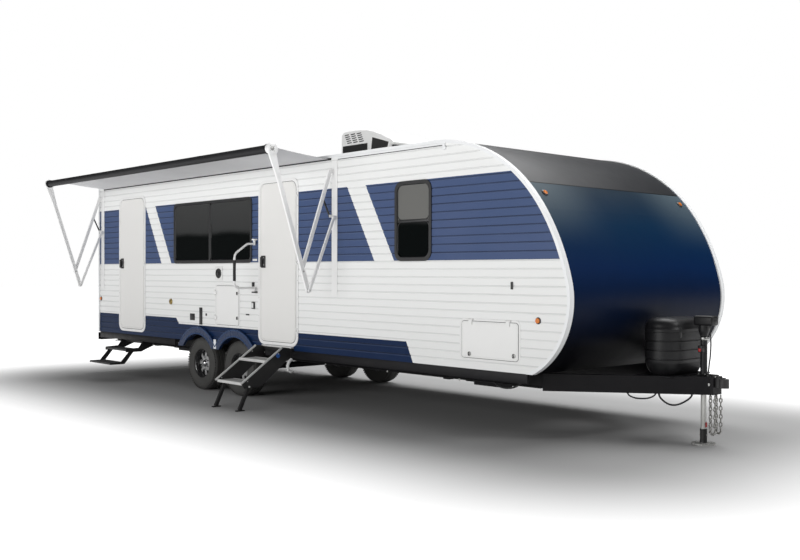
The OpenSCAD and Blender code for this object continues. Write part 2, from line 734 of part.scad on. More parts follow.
// ---------- awning ----------
awning_xs = [awning_x0, awning_x0 + awning_l];
module link(p, q, w, eye, hole_p, hole_q) {
    run = q - p;
    difference() {
        union() {
            translate(p) rotate(atan2(run[1], run[0])) translate([0, -w / 2]) square([norm(run), w]);
            translate(p) circle(r = eye);
            translate(q) circle(r = eye);
        }
        if (hole_p > 0) translate(p) circle(r = hole_p);
        if (hole_q > 0) translate(q) circle(r = hole_q);
    }
}
module pin_x(p, r, x0, x1) { along_x(x0, x1) translate(p) circle(r = r); }
module awning_channels() {
    ear_t = 3;
    color("#f2f3f3") place() {
        for (x = awning_xs) {
            box([x - 46, x + 46], [-half_w - 4, -half_w - eps], [pin_d[1] - 60, rail_low - 8]);
            for (e = [[pin_a, -1], [pin_b, 1]]) {
                mid = x + e[1] * arm_pitch;
                for (s = [-1, 1]) along_x(mid + s * (arm_t / 2 + 2) - ear_t / 2, mid + s * (arm_t / 2 + 2) + ear_t / 2)
                    difference() {
                        translate([3, e[0][1] - 22]) square([e[0][0] + 10 - 3, 44]);
                    }
                pin_x(e[0], awning_pin_r, mid - arm_t / 2 - 3, mid + arm_t / 2 + 3);
            }
        }
        for (x = awning_xs) {
            // foot of the lifting strut, beside the wall arm
            along_x(x - strut_side + 1, x - strut_side + 4) translate([3, strut_foot[1] - 14]) square([40, 28]);
            pin_x(strut_foot, 4, x - strut_side - 12, x - strut_side + 4);
        }
        box([awning_xs[0] + 60, awning_xs[1] - 60], [-half_w - rail_out, -half_w - eps], [rail_low, rail_top]);
    }
}
module awning_wall_arms() {
    color("#f2f3f3") place() for (x = awning_xs) {
        mid = x - arm_pitch;
        along_x(mid - arm_t / 2, mid + arm_t / 2)
            link(pin_a, pin_c, wall_arm_w, wall_arm_w / 2 + 2, awning_pin_r + eps, 0);
        pin_x(pin_c, awning_pin_r, mid, x + 10.5);
        pin_x(strut_top, 6, x - strut_side + eps, mid);
    }
}
module awning_outer_arms() {
    color("#f2f3f3") place() for (x = awning_xs) {
        along_x(x - arm_t / 2, x + arm_t / 2) difference() {
            union() {
                link(pin_d, pin_r, arm_w, arm_w / 2 + 2, 0, 12 + eps);
                translate(pin_r) circle(r = head_r);
            }
            translate(pin_c) circle(r = awning_pin_r + eps);
            translate(pin_r) circle(r = 12 + eps);
        }
        // ends flush before the brace, whose open eye rides beside it
        pin_x(pin_d, awning_pin_r, x, x + arm_pitch - arm_t / 2 - eps);
    }
}
module awning_roller() {
    end = arm_t / 2 + 3;
    color("#44484e") place() {
        pin_x(pin_r, roller_r, awning_xs[0] + end + 46, awning_xs[1] - end - 46);
        for (s = [0, 1]) {
            x = awning_xs[s] + (s == 0 ? end : -end - 46);
            pin_x(pin_r, roller_r + 10, x, x + 46 + (s == 0 ? 0.5 : 0));
            pin_x(pin_r, 12, s == 0 ? awning_xs[0] - 8 : awning_xs[1] - end - 1,
                s == 0 ? awning_xs[0] + end + 1 : awning_xs[1] + 8);
        }
    }
}
module awning_braces() {
    color("#f2f3f3") place() for (x = awning_xs) {
        mid = x + arm_pitch;
        along_x(mid - arm_t / 2, mid + arm_t / 2)
            link(pin_b, pin_d, brace_w, brace_w / 2 + 3, awning_pin_r + eps, awning_pin_r + 3);
    }
}
module awning_struts() {
    color("#1c1d1f") place() for (x = awning_xs) {
        along_x(x - strut_side - 12, x - strut_side) link(strut_foot, strut_top, 16, 11, 4 + eps, 0);
    }
}
module awning_canopy() {
    cloth_t = 3;
    top = pin_r[1] + roller_r + 0.8;
    color("#34383e") place() along_x(awning_xs[0] + 90, awning_xs[1] - 90)
        polygon([[rail_out + eps, rail_low + 12], [rail_out + eps, rail_low + 12 + cloth_t],
            [pin_r[0], top + cloth_t], [pin_r[0], top]]);
}

// ---------- steps and handle ----------
module stair_side(x) {
    // outline in [off the wall, height]
    along_x(x, x + 8) polygon([[30, floor_z + 30], [150, floor_z + 46], [680, 300], [640, 240],
        [420, 250], [90, 500], [30, 520]]);
}
module stair_frame() {
    leg = 34;
    color("#121314") place() {
        for (x = [stair_x, stair_x + tread_w - 8]) {
            stair_side(x);
            inner = x == stair_x ? x + 8 : x - leg;
            along_x(inner, inner + leg) {
                link([575, 238], [676, 26], leg, leg / 2 + 2, 0, 0);
                translate([626, 0]) square([100, 12]);
                translate([660, 8]) square([32, 24]);
            }
        }
        box([stair_x - 20, stair_x + tread_w + 20], [-half_w - 34, -half_w - eps], [floor_z - 10, floor_z + 40]);
    }
}
module stair_treads() {
    color("#3a3c3e") place() for (t = [[150, 525], [430, 300]])
        box([stair_x + 8 + eps, stair_x + tread_w - 8 - eps],
            [-half_w - t[0] - 225, -half_w - t[0]], [t[1] - 28, t[1]]);
}
module rear_step() {
    x0 = rear_door_x + 65;
    x1 = x0 + 600;
    color("#17181a") place() {
        for (t = [[30, 430], [265, 262]])
            box([x0, x1], [-half_w - t[0] - 215, -half_w - t[0]], [t[1] - 22, t[1]]);
        for (x = [x0 - 8, x1]) along_x(x, x + 8) {
            polygon([[-240, floor_z - eps], [-240, 500], [-60, 430], [20, 395], [250, 395], [250, 440],
                [60, 450], [-55, floor_z - eps]]);
            polygon([[120, 420], [190, 420], [330, 262], [480, 262], [480, 238], [270, 238]]);
        }
        box([x0, x1], [-half_w + 60, -half_w + 235], [500, 540]);
    }
}
handle_x = front_door_x - 70;
handle_low = 1290;
handle_high = 1826;
handle_end = 30;                       // the upright rod runs past each bar by this
module grab_handle() {
    tube = 13;
    reach = 300;
    color("#eeeeee") place() translate([handle_x, -half_w, 0]) {
        for (z = [handle_low, handle_high]) translate([0, -28, z]) rotate([90, 0, 0])
            cylinder(r = tube, h = reach - 28);
        translate([0, -reach, handle_low]) cylinder(r = tube + 0.6, h = handle_high - handle_low);
        translate([0, -28, handle_low - handle_end])
            cylinder(r = tube + 3, h = handle_high - handle_low + 2 * handle_end);
    }
}
module grab_brackets() {
    color("#d9dadb") place() for (z = [handle_low - handle_end - 8 - eps, handle_high + handle_end + 8 + eps])
        translate([handle_x, -half_w, z]) box([-26, 26], [-48, -eps], [-8, 8]);
}

// ---------- tongue fittings ----------
module propane_cover() {
    x0 = nose_tip_x + 45;
    depth = 340;
    width = 660;
    base = tongue_z + rail_h + 2 + eps;
    top = 1098;
    wall = 8;
    color("#161718") place() difference() {
        union() {
            translate([x0, -width / 2 + depth / 2, base]) cube([depth, width - depth, top - base]);
            for (s = [-1, 1]) translate([x0 + depth / 2, s * (width - depth) / 2, base])
                cylinder(r = depth / 2, h = top - base);
        }
        translate([x0 + wall, -width / 2 + depth / 2, base - cut])
            cube([depth - 2 * wall, width - depth, top - base - wall]);
        for (s = [-1, 1]) translate([x0 + depth / 2, s * (width - depth) / 2, base - cut])
            cylinder(r = depth / 2 - wall, h = top - base - wall);
    }
}
module jack_post() {
    color("#1d1e20") place() {
        translate([jack_x, 0, tongue_z]) cylinder(r = 29, h = 540);
        translate([jack_x, 0, tongue_z + rail_h + eps]) cylinder(r = 52, h = 12);
        translate([jack_x, 0, 975]) cylinder(r = 46, h = 60);
        box([jack_x - 75, jack_x + 110], [-60, 60], [1030, 1118]);
    }
}
module jack_leg() {
    color("#b9bbb8") place() {
        translate([jack_x, 0, 20]) cylinder(r = 24, h = tongue_z - 20 - eps);
        translate([jack_x, 0, 12]) cylinder(r = 30, h = 110);
        translate([jack_x, 0, 0]) cylinder(r = 100, h = 14);
    }
}
module stabilizer_jacks() {
    color("#232426") place() for (x = [1150, 6900]) both_sides() {
        box([x, x + 640], [560, 640], [rail_z - 52, rail_z - eps]);
        box([x + 90, x + 560], [585, 615], [rail_z - 82, rail_z - 52]);
        box([x - 20, x + 60], [540, rail_y + rail_w / 2], [rail_z - 12, rail_z - eps]);
    }
}
module safety_chains() {
    strand = 9;
    color("#8e9092") place() both_sides() {
        for (x = [0, 46])
            translate([hitch_x - 100 + x, 48, 100]) cylinder(r = strand, h = tongue_z - 100 - eps);
        translate([hitch_x - 100, 48, 104]) rotate([0, 90, 0]) cylinder(r = strand, h = 46);
    }
}

// ---------- cables: a round tube swept along points chosen by hand ----------
function unit(v) = v / norm(v);
function tangent(p, i) = unit(p[min(i + 1, len(p) - 1)] - p[max(i - 1, 0)]);
module swept_tube(p, r, sides = 8) {
    n = len(p);
    plane = unit(cross(p[floor(n / 2)] - p[0], p[n - 1] - p[0]));   // each route lies close to one plane
    points = [for (i = [0:n - 1], k = [0:sides - 1])
        let (t = tangent(p, i), u = unit(cross(t, plane)), v = cross(t, u), a = 360 * k / sides)
        p[i] + r * (cos(a) * u + sin(a) * v)];
    walls = [for (i = [0:n - 2], k = [0:sides - 1])
        let (m = (k + 1) % sides) [i * sides + k, (i + 1) * sides + k, (i + 1) * sides + m, i * sides + m]];
    caps = [[for (k = [0:sides - 1]) k], [for (k = [sides - 1:-1:0]) (n - 1) * sides + k]];
    polyhedron(points = points, faces = concat(walls, caps), convexity = 6);
}
// points as [behind the socket, left of the centre plane, over the ground]
module cable(route, r) {
    color("#0c0c0d") place() swept_tube([for (p = route) [hitch_x - p[0], p[1], p[2]]], r);
}
jack_route = [[112, -30, 1029.4], [112, -31, 1010], [110, -34, 985], [106, -38, 960], [101, -42, 930],
    [98, -45, 900], [96, -47, 870], [96, -49, 840], [97, -50, 810], [99, -50, 780], [102, -50, 750],
    [107, -50, 720], [111, -49, 690], [115, -48, 660], [119, -47, 635], [122, -46, 615],
    [122, -46, 594.8]];
front_route = [[250, -88, 441.4], [250, -88, 430], [254, -92, 416], [264, -102, 400], [276, -114, 386],
    [290, -128, 374], [305, -142, 362], [320, -156, 352], [337, -170, 344], [355, -186, 339],
    [373, -200, 339], [390, -214, 343], [406, -228, 352], [421, -241, 364], [434, -254, 379],
    [446, -266, 396], [453, -274, 413], [456, -278, 428], [456, -278, 441.4]];
rear_route = [[480, -296, 441.4], [480, -296, 432], [487, -303, 420], [499, -315, 409], [514, -328, 401],
    [531, -343, 395], [549, -358, 392], [569, -375, 391], [589, -391, 392], [607, -407, 395],
    [624, -422, 401], [639, -435, 409], [651, -446, 420], [658, -452, 432], [658, -452, 441.4]];
side_route = [[1360, -960, 613.4], [1360, -962, 590], [1365, -967, 566], [1375, -975, 543],
    [1389, -984, 521], [1406, -994, 501], [1426, -1004, 483], [1450, -1012, 468], [1478, -1018, 457],
    [1508, -1022, 450], [1540, -1024, 446], [1570, -1025, 445], [1600, -1024, 446], [1632, -1022, 450],
    [1662, -1018, 457], [1690, -1012, 468], [1714, -1004, 483], [1734, -994, 501], [1751, -984, 521],
    [1765, -975, 543], [1775, -967, 566], [1780, -962, 590], [1780, -960, 613.4]];
module cable_jack() { cable(jack_route, 6); }
module cable_front() { cable(front_route, 8); }
module cable_rear() { cable(rear_route, 7); }
module cable_side() { cable(side_route, 8); }

// ---------- lights and small fittings ----------
module tail_lights() {
    color("#9d1620") place() both_sides() box([-22, -eps], [960, 1120], [930, 1150]);
}
module marker_lights() {
    color("#e08a1e") place() {
        both_sides() translate([c1[0], 1060, c1[1]]) rotate([0, 49.5, 0]) translate([0, 0, nose_r1 + eps])
            cylinder(r = 22, h = 14);
        both_sides() for (p = [[nose_tip_x - 335, 1077], [60, 1098]])
            translate([p[0], half_w, p[1]]) rotate([-90, 0, 0]) translate([0, 0, eps]) cylinder(r = 22, h = 14);
    }
}
module fitting(x, z, w, h, t) { box([x - w / 2, x + w / 2], [-half_w - t, -half_w - eps], [z - h / 2, z + h / 2]); }
module wall_fittings() {
    color("#2b2c2e") place() {
        fitting(3272, 1470, 105, 105, 10);
        fitting(2648, 916, 70, 60, 10);
        fitting(2853, 933, 60, 170, 10);
        fitting(4011, 1098, 90, 60, 22);
        fitting(2100, 1098, 70, 70, 12);
    }
}

chassis();
tongue_frame();
coupler();
rear_bumper();
floor_panel();  // floor
wheel_wells();
right_wall();
left_wall();
rear_wall();
roof();
upper_cap();
front_cap();
edge_trims();
fender_skirts();
front_axle();
rear_axle();
leaf_springs();
tyre_right_front();
tyre_right_rear();
tyre_left_front();
tyre_left_rear();
rim_right_front();
rim_right_rear();
rim_left_front();
rim_left_rear();
front_door();
rear_door();
door_frames();
window_frames();
window_glass();
baggage_door_right();
baggage_door_left();
utility_hatch();
hatch_frames();
air_conditioner();
roof_vents();
awning_channels();
awning_wall_arms();
awning_outer_arms();
awning_roller();
awning_braces();
awning_struts();
awning_canopy();
stair_frame();
stair_treads();
rear_step();
grab_handle();
grab_brackets();
propane_cover();
jack_post();
jack_leg();
stabilizer_jacks();
safety_chains();
cable_jack();
cable_front();
cable_rear();
cable_side();
tail_lights();
marker_lights();
wall_fittings();
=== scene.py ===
import math

import bmesh
import bpy
from mathutils import Matrix, Vector


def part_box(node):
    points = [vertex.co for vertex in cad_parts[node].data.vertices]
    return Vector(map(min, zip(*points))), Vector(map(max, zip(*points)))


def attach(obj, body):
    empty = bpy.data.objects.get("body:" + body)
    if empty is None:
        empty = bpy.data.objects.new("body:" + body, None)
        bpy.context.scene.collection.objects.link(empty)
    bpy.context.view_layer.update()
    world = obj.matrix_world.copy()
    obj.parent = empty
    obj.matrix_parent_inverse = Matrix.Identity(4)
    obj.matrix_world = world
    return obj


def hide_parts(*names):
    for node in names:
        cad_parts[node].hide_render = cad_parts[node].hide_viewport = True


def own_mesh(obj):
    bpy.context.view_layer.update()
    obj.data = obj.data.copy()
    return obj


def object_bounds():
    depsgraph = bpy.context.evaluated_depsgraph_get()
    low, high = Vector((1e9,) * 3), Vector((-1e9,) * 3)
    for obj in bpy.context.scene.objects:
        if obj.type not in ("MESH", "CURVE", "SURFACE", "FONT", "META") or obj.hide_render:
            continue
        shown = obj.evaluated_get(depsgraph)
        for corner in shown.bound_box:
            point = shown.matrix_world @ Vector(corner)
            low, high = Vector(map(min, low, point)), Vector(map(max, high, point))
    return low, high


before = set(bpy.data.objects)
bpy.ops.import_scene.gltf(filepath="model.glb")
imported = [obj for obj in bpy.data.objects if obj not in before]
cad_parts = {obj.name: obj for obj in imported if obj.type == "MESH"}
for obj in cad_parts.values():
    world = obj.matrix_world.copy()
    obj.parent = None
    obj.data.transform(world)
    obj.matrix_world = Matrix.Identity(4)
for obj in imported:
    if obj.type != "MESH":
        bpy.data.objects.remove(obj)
cad_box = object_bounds()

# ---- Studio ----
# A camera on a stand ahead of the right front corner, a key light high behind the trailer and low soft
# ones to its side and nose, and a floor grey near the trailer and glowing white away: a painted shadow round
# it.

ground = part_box("jack_leg")[0].z    # the jack's foot stands on it

camera_data = bpy.data.cameras.new("camera")
camera_data.lens = 44.17
camera_data.sensor_width = 36.0
camera_data.clip_end = 400.0
camera = bpy.data.objects.new("camera", camera_data)
bpy.context.collection.objects.link(camera)
stand = Vector((4.323, -7.685, 0.948))
heading, dip, tilt = math.radians(47.643), math.radians(-0.399), math.radians(0.14)
camera.matrix_world = (Matrix.Translation(stand) @ Matrix.Rotation(heading, 4, "Z")
                       @ Matrix.Rotation(math.pi / 2 + dip, 4, "X") @ Matrix.Rotation(tilt, 4, "Z"))
bpy.context.scene.camera = camera

sweep_mesh = bmesh.new()
bmesh.ops.create_grid(sweep_mesh, x_segments=2, y_segments=2, size=90.0)
bmesh.ops.translate(sweep_mesh, verts=sweep_mesh.verts, vec=(0.0, 0.0, ground))
sweep_data = bpy.data.meshes.new("studio_floor")
sweep_mesh.to_mesh(sweep_data)
sweep_mesh.free()
sweep = bpy.data.objects.new("studio_floor", sweep_data)
bpy.context.collection.objects.link(sweep)

# White all round for the camera, weaker in the light it sheds and dim in reflections,
# as black flags out of the picture would keep the dark paint dark.
sky = bpy.data.worlds.new("studio_sky")
sky.use_nodes = True
sky_light = sky.node_tree.nodes["Background"]
sky_light.inputs["Color"].default_value = (1.0, 1.0, 1.0, 1.0)
ray = sky.node_tree.nodes.new("ShaderNodeLightPath")
spread_level, mirror_level = 0.24, 0.06
level = None
for output, gain in (("Is Camera Ray", 1.0 - spread_level), ("Is Glossy Ray", mirror_level - spread_level)):
    term = sky.node_tree.nodes.new("ShaderNodeMath")
    term.operation = "MULTIPLY_ADD"
    term.inputs[1].default_value = gain
    term.inputs[2].default_value = spread_level
    sky.node_tree.links.new(ray.outputs[output], term.inputs[0])
    if level:
        sky.node_tree.links.new(level, term.inputs[2])
    level = term.outputs[0]
sky.node_tree.links.new(level, sky_light.inputs["Strength"])
bpy.context.scene.world = sky
bpy.context.scene.view_settings.view_transform = "Standard"


def soft_light(name, place, aim, size, watts, tint=(1.0, 1.0, 1.0)):
    data = bpy.data.lights.new(name, "AREA")
    data.shape = "RECTANGLE"
    data.size, data.size_y = size
    data.energy = watts
    data.color = tint
    lamp = bpy.data.objects.new(name, data)
    bpy.context.collection.objects.link(lamp)
    lamp.location = place
    lamp.rotation_mode = "QUATERNION"
    lamp.rotation_quaternion = (Vector(aim) - Vector(place)).to_track_quat("-Z", "Y")


soft_light("side_softbox", (-4.0, -13.5, 2.6), (-4.6, 0.0, 1.0), (14.0, 4.0), 850.0)
soft_light("roof_softbox", (-4.5, 3.5, 9.5), (-4.5, -0.5, 0.0), (16.0, 7.0), 1500.0)
soft_light("nose_softbox", (6.5, 3.5, 6.0), (-1.5, 0.0, 1.2), (4.0, 3.0), 260.0)


# A finish is the paint, rubber or cloth of one kind of piece.  A wire is one socket of
# it, and sums, products and comparisons of wires add the maths nodes.


class Wire:
    def __init__(self, finish, socket):
        self.finish = finish
        self.socket = socket

    def __add__(self, other):
        return self.finish.node("Math", self, other, operation="ADD")

    def __sub__(self, other):
        return self.finish.node("Math", self, other, operation="SUBTRACT")

    def __rsub__(self, other):
        return self.finish.node("Math", other, self, operation="SUBTRACT")

    def __mul__(self, other):
        return self.finish.node("Math", self, other, operation="MULTIPLY")

    def __truediv__(self, other):
        return self.finish.node("Math", self, other, operation="DIVIDE")

    def __gt__(self, other):
        return self.finish.node("Math", self, other, operation="GREATER_THAN")

    def __lt__(self, other):
        return self.finish.node("Math", self, other, operation="LESS_THAN")

    def __abs__(self):
        return self.finish.node("Math", self, operation="ABSOLUTE")

    def wrap(self, pitch):
        """Runs from 0 to pitch over and over."""
        return self.finish.node("Math", self, pitch, 0.0, operation="WRAP")

    def clamp(self):
        return self.finish.node("Clamp", self)

    def sine(self):
        return self.finish.node("Math", self, operation="SINE")

    __radd__ = __add__
    __rmul__ = __mul__


class Finish:
    def __init__(self, name, colour, roughness, metallic=0.0, coat=0.0, alpha=1.0, gleam=0.5):
        self.material = bpy.data.materials.new(name)
        self.material.use_nodes = True
        self.tree = self.material.node_tree
        self.shader = self.tree.nodes["Principled BSDF"]
        self.set("Base Color", (*colour, 1.0))
        self.set("Roughness", roughness)
        self.set("Metallic", metallic)
        self.set("Coat Weight", coat)
        self.set("Alpha", alpha)
        self.set("Specular IOR Level", gleam)
        self.place = self.node("TexCoord", out="Object")
        self.x, self.y, self.z = (self.node("SeparateXYZ", self.place, out=axis) for axis in "XYZ")

    def node(self, kind, *values, out=0, stops=None, sockets=None, **settings):
        """Adds one node: its settings first, then values or wires for its sockets."""
        node = self.tree.nodes.new("ShaderNode" + kind)
        for key, value in settings.items():
            setattr(node, key, value)
        if stops:
            node.color_ramp.elements[0].position, node.color_ramp.elements[0].color = stops[0]
            node.color_ramp.elements[1].position, node.color_ramp.elements[1].color = stops[-1]
            for spot, colour in stops[1:-1]:
                node.color_ramp.elements.new(spot).color = colour
        for key, value in [*enumerate(values), *(sockets or {}).items()]:
            if isinstance(value, Wire):
                self.tree.links.new(value.socket, node.inputs[key])
            elif value is not None:
                node.inputs[key].default_value = value
        return Wire(self, node.outputs[out])

    def set(self, socket, value):
        if isinstance(value, Wire):
            self.tree.links.new(value.socket, self.shader.inputs[socket])
        else:
            self.shader.inputs[socket].default_value = value

    def noise(self, scale, detail=3.0, stretch=(1.0, 1.0, 1.0), roughness=0.55):
        spread = self.node("Mapping", sockets={"Vector": self.place, "Scale": stretch})
        return self.node("TexNoise", sockets={"Vector": spread, "Scale": scale, "Detail": detail,
                                              "Roughness": roughness})

    def mix(self, share, first, second):
        first, second = (value if isinstance(value, Wire) else (*value, 1.0) for value in (first, second))
        return self.node("Mix", share, data_type="RGBA", out=2, sockets={6: first, 7: second})

    def between(self, value, low, high):
        return (value > low) * (value < high)

    def bump(self, height, depth, strength=1.0):
        """Raises the surface by height times depth, in metres."""
        raised = self.node("Bump", sockets={"Height": height, "Distance": depth, "Strength": strength})
        self.set("Normal", raised)

    def worn(self, colour, shade, scale=3.0, roughness=(0.35, 0.5), grain=None):
        """Uneven colour and gloss, as handling, dust and rain leave them."""
        patches = self.noise(scale, 5.0)
        self.set("Base Color", self.mix(patches, colour, shade))
        low, high = roughness
        self.set("Roughness", self.noise(scale * 3.0, 4.0) * (high - low) + low)
        if grain:
            size, depth = grain
            self.bump(self.noise(size, 2.0), depth, 0.6)
        return self

    def dress(self, *nodes):
        """Puts this finish on CAD nodes whose shape stays."""
        for name in nodes:
            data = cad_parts[name].data
            data.materials.clear()
            data.materials.append(self.material)


def grey(value):
    return (value, value, value)


studio_white = Finish("studio_white", grey(0.36), 0.9, gleam=0.0)
rear_end, front_end = cad_box[0][0], cad_box[1][0]
half_length = (front_end - rear_end) / 2 - 0.6
half_width = 1.3
past_end = abs(studio_white.x - (rear_end + front_end) / 2) - half_length
beyond_end = studio_white.node("Math", past_end, 0.0, operation="MAXIMUM")
beyond_side = studio_white.node("Math", abs(studio_white.y) - half_width, 0.0, operation="MAXIMUM")
away = studio_white.node("Math", beyond_end * beyond_end + beyond_side * beyond_side, 0.5, operation="POWER")
# the glow rises with distance from the trailer: painted light, which leaves a painted shadow round it
painted_floor_light = studio_white.node("MapRange", away, 0.4, 3.2, 0.0, 1.0, interpolation_type="SMOOTHSTEP")
studio_white.set("Emission Color", studio_white.mix(painted_floor_light, grey(0.0), grey(1.0)))
studio_white.set("Emission Strength", 1.0)
sweep_data.materials.append(studio_white.material)

# ---- Cables ----
# Rubber-sheathed brake, breakaway and jack leads that loop between clips on the tongue
# and the front cross tube.  Each route is given with its radius, as distances behind the
# socket, left of the middle and over the ground, in millimetres.

cable_rubber = Finish("cable_rubber", (0.012, 0.012, 0.013), 0.5)
cable_rubber.worn((0.010, 0.010, 0.011), (0.026, 0.026, 0.027), 60.0, (0.42, 0.6))
cable_routes = {
    "cable_jack": (6, [(112, -30, 1029.4), (112, -31, 1010), (110, -34, 985), (106, -38, 960),
                       (101, -42, 930), (98, -45, 900), (96, -47, 870), (96, -49, 840), (97, -50, 810),
                       (99, -50, 780), (102, -50, 750), (107, -50, 720), (111, -49, 690), (115, -48, 660),
                       (119, -47, 635), (122, -46, 615), (122, -46, 594.8)]),
    "cable_front": (8, [(250, -88, 441.4), (250, -88, 430), (254, -92, 416), (264, -102, 400),
                        (276, -114, 386), (290, -128, 374), (305, -142, 362), (320, -156, 352),
                        (337, -170, 344), (355, -186, 339), (373, -200, 339), (390, -214, 343),
                        (406, -228, 352), (421, -241, 364), (434, -254, 379), (446, -266, 396),
                        (453, -274, 413), (456, -278, 428), (456, -278, 441.4)]),
    "cable_rear": (7, [(480, -296, 441.4), (480, -296, 432), (487, -303, 420), (499, -315, 409),
                       (514, -328, 401), (531, -343, 395), (549, -358, 392), (569, -375, 391),
                       (589, -391, 392), (607, -407, 395), (624, -422, 401), (639, -435, 409),
                       (651, -446, 420), (658, -452, 432), (658, -452, 441.4)]),
    "cable_side": (8, [(1360, -960, 613.4), (1360, -962, 590), (1365, -967, 566), (1375, -975, 543),
                       (1389, -984, 521), (1406, -994, 501), (1426, -1004, 483), (1450, -1012, 468),
                       (1478, -1018, 457), (1508, -1022, 450), (1540, -1024, 446), (1570, -1025, 445),
                       (1600, -1024, 446), (1632, -1022, 450), (1662, -1018, 457), (1690, -1012, 468),
                       (1714, -1004, 483), (1734, -994, 501), (1751, -984, 521), (1765, -975, 543),
                       (1775, -967, 566), (1780, -962, 590), (1780, -960, 613.4)])}


def lead_points(route):
    return [Vector((-behind / 1000, left / 1000, ground + up / 1000)) for behind, left, up in route]


for name, (radius, route) in cable_routes.items():
    points = lead_points(route)
    data = bpy.data.curves.new(name + "_lead", "CURVE")
    data.dimensions = "3D"
    data.bevel_depth = radius / 1000
    data.bevel_resolution = 5
    data.use_fill_caps = True
    data.resolution_u = 1
    line = data.splines.new("POLY")
    line.points.add(len(points) - 1)
    for spot, point in zip(line.points, points):
        spot.co = (*point, 1.0)
    data.materials.append(cable_rubber.material)
    lead = bpy.data.objects.new(name + "_lead", data)
    bpy.context.collection.objects.link(lead)
    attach(lead, "trailer")
    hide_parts(name)


def settle(name, mesh, finish, body="trailer", replaces=(), smooth=35.0):
    """Turns a finished bmesh into a piece with its finish and the body it rides on."""
    data = bpy.data.meshes.new(name)
    mesh.normal_update()
    mesh.to_mesh(data)
    mesh.free()
    finishes = finish if isinstance(finish, (list, tuple)) else [finish]
    for each in finishes:
        data.materials.append(each.material)
    for face in data.polygons:
        face.use_smooth = True
    data.set_sharp_from_angle(angle=math.radians(smooth))
    thing = bpy.data.objects.new(name, data)
    bpy.context.collection.objects.link(thing)
    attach(thing, body)
    if replaces:
        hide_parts(*replaces)
    return thing


def stay(mesh, made, paint):
    """Gives the faces of what was just made their finish number."""
    for vert in made:
        for face in vert.link_faces:
            face.material_index = paint


def rod(mesh, start, end, radius, sides=16, end_radius=None, edge=0.0, paint=0):
    """A round bar from one point to another, tapered when end_radius is given."""
    start, end = Vector(start), Vector(end)
    run = end - start
    place = Matrix.Translation((start + end) / 2) @ run.to_track_quat("Z", "Y").to_matrix().to_4x4()
    made = bmesh.ops.create_cone(mesh, cap_ends=True, segments=sides, radius1=radius,
                                 radius2=radius if end_radius is None else end_radius,
                                 depth=run.length, matrix=place)["verts"]
    stay(mesh, made, paint)
    if edge:
        rims = [e for e in {e for v in made for e in v.link_edges}
                if any(len(f.verts) > 4 for f in e.link_faces)]
        made = bmesh.ops.bevel(mesh, geom=rims, offset=edge, segments=2, profile=0.5,
                               affect="EDGES", material=-1)["verts"]
    return made


# tapered boots where the leads leave the tongue and the floor
boots = bmesh.new()
boot_length, boot_thick, boot_lip = 0.018, 0.004, 0.0012
for radius, route in cable_routes.values():
    points = lead_points(route)
    for start, then in ((points[0], points[1]), (points[-1], points[-2])):
        tip = start + (then - start).normalized() * min(boot_length, (then - start).length)
        rod(boots, start, tip, radius / 1000 + boot_thick, 16, radius / 1000 + boot_lip)
settle("cable_boots", boots, cable_rubber)


# ---- Sided walls ----
# Aluminium sheet pressed in 76 mm courses over a timber frame, sprayed white.
# A navy stripe at window height and a navy band along the foot are broken by
# slanted white slashes; the sheet is never dead flat, so it carries a slow ripple.

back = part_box("rear_wall")[0].x
wall_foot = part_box("right_wall")[0].z
lap_height = 0.076
shadow_line = 0.0095
stripe_low, stripe_high = 1.600, 2.372
slash_lean = 0.435 / 0.772
slashes = ((1.845, 0.262), (6.180, 0.295))      # foot and width, along the wall
band_top, band_step = 0.890, 0.815
step_start, step_end = 2.235, 2.305
band_end = 6.655
white_paint, cream_shade = (0.800, 0.805, 0.800), (0.760, 0.765, 0.755)
navy_paint, navy_shade = (0.042, 0.074, 0.165), (0.078, 0.106, 0.205)
deep_navy, deep_shade = (0.004, 0.015, 0.055), (0.006, 0.021, 0.068)


def striped_siding(name):
    siding = Finish(name, white_paint, 0.42, gleam=0.10)
    along = siding.x - back
    up = siding.z - ground
    stripe = siding.between(up, stripe_low, stripe_high)
    for foot, width in slashes:
        left = foot - (up - stripe_low) * slash_lean
        stripe = stripe * (1 - siding.between(along - left, 0.0, width))
    step = ((along - step_start) / (step_end - step_start)).clamp()
    top = band_top - step * (band_top - band_step)
    band = (up < top) * (along < (band_end + (band_step - up) * 0.48))
    # each course overhangs the next: a shadow line under it, a lit slope below that
    course = (siding.z - wall_foot).wrap(lap_height)
    shadow = course > lap_height - shadow_line
    slope = siding.between(course, lap_height - 2 * shadow_line, lap_height - shadow_line)
    patches = siding.noise(0.8, 4.0)
    white = siding.mix(patches, white_paint, cream_shade)
    navy = siding.mix(patches, navy_paint, navy_shade)
    low_navy = siding.mix(patches, deep_navy, deep_shade)
    sheet = siding.mix(band, siding.mix(stripe, white, navy), low_navy)
    lit = siding.mix(slope * (stripe + band) * 0.10, sheet, (0.30, 0.36, 0.52))
    uneven = siding.noise(1.3, 3.0, stretch=(1.0, 1.0, 9.0)) * 0.9 + 0.45
    shade_share = shadow * uneven * (0.20 + (stripe + band) * 0.44)
    siding.set("Base Color", siding.mix(shade_share, lit, (0.010, 0.012, 0.020)))
    siding.set("Roughness", siding.noise(5.0, 3.0) * 0.10 + 0.34 - stripe * 0.05)
    ripple = siding.noise(1.6, 2.0, stretch=(0.5, 1.0, 3.0))
    orange_peel = siding.noise(900.0, 1.0)
    siding.bump(ripple * 3.0 + orange_peel * 0.03, 0.0016)
    return siding


wall_sheet = striped_siding("sprayed_siding")
wall_sheet.dress("right_wall", "left_wall")

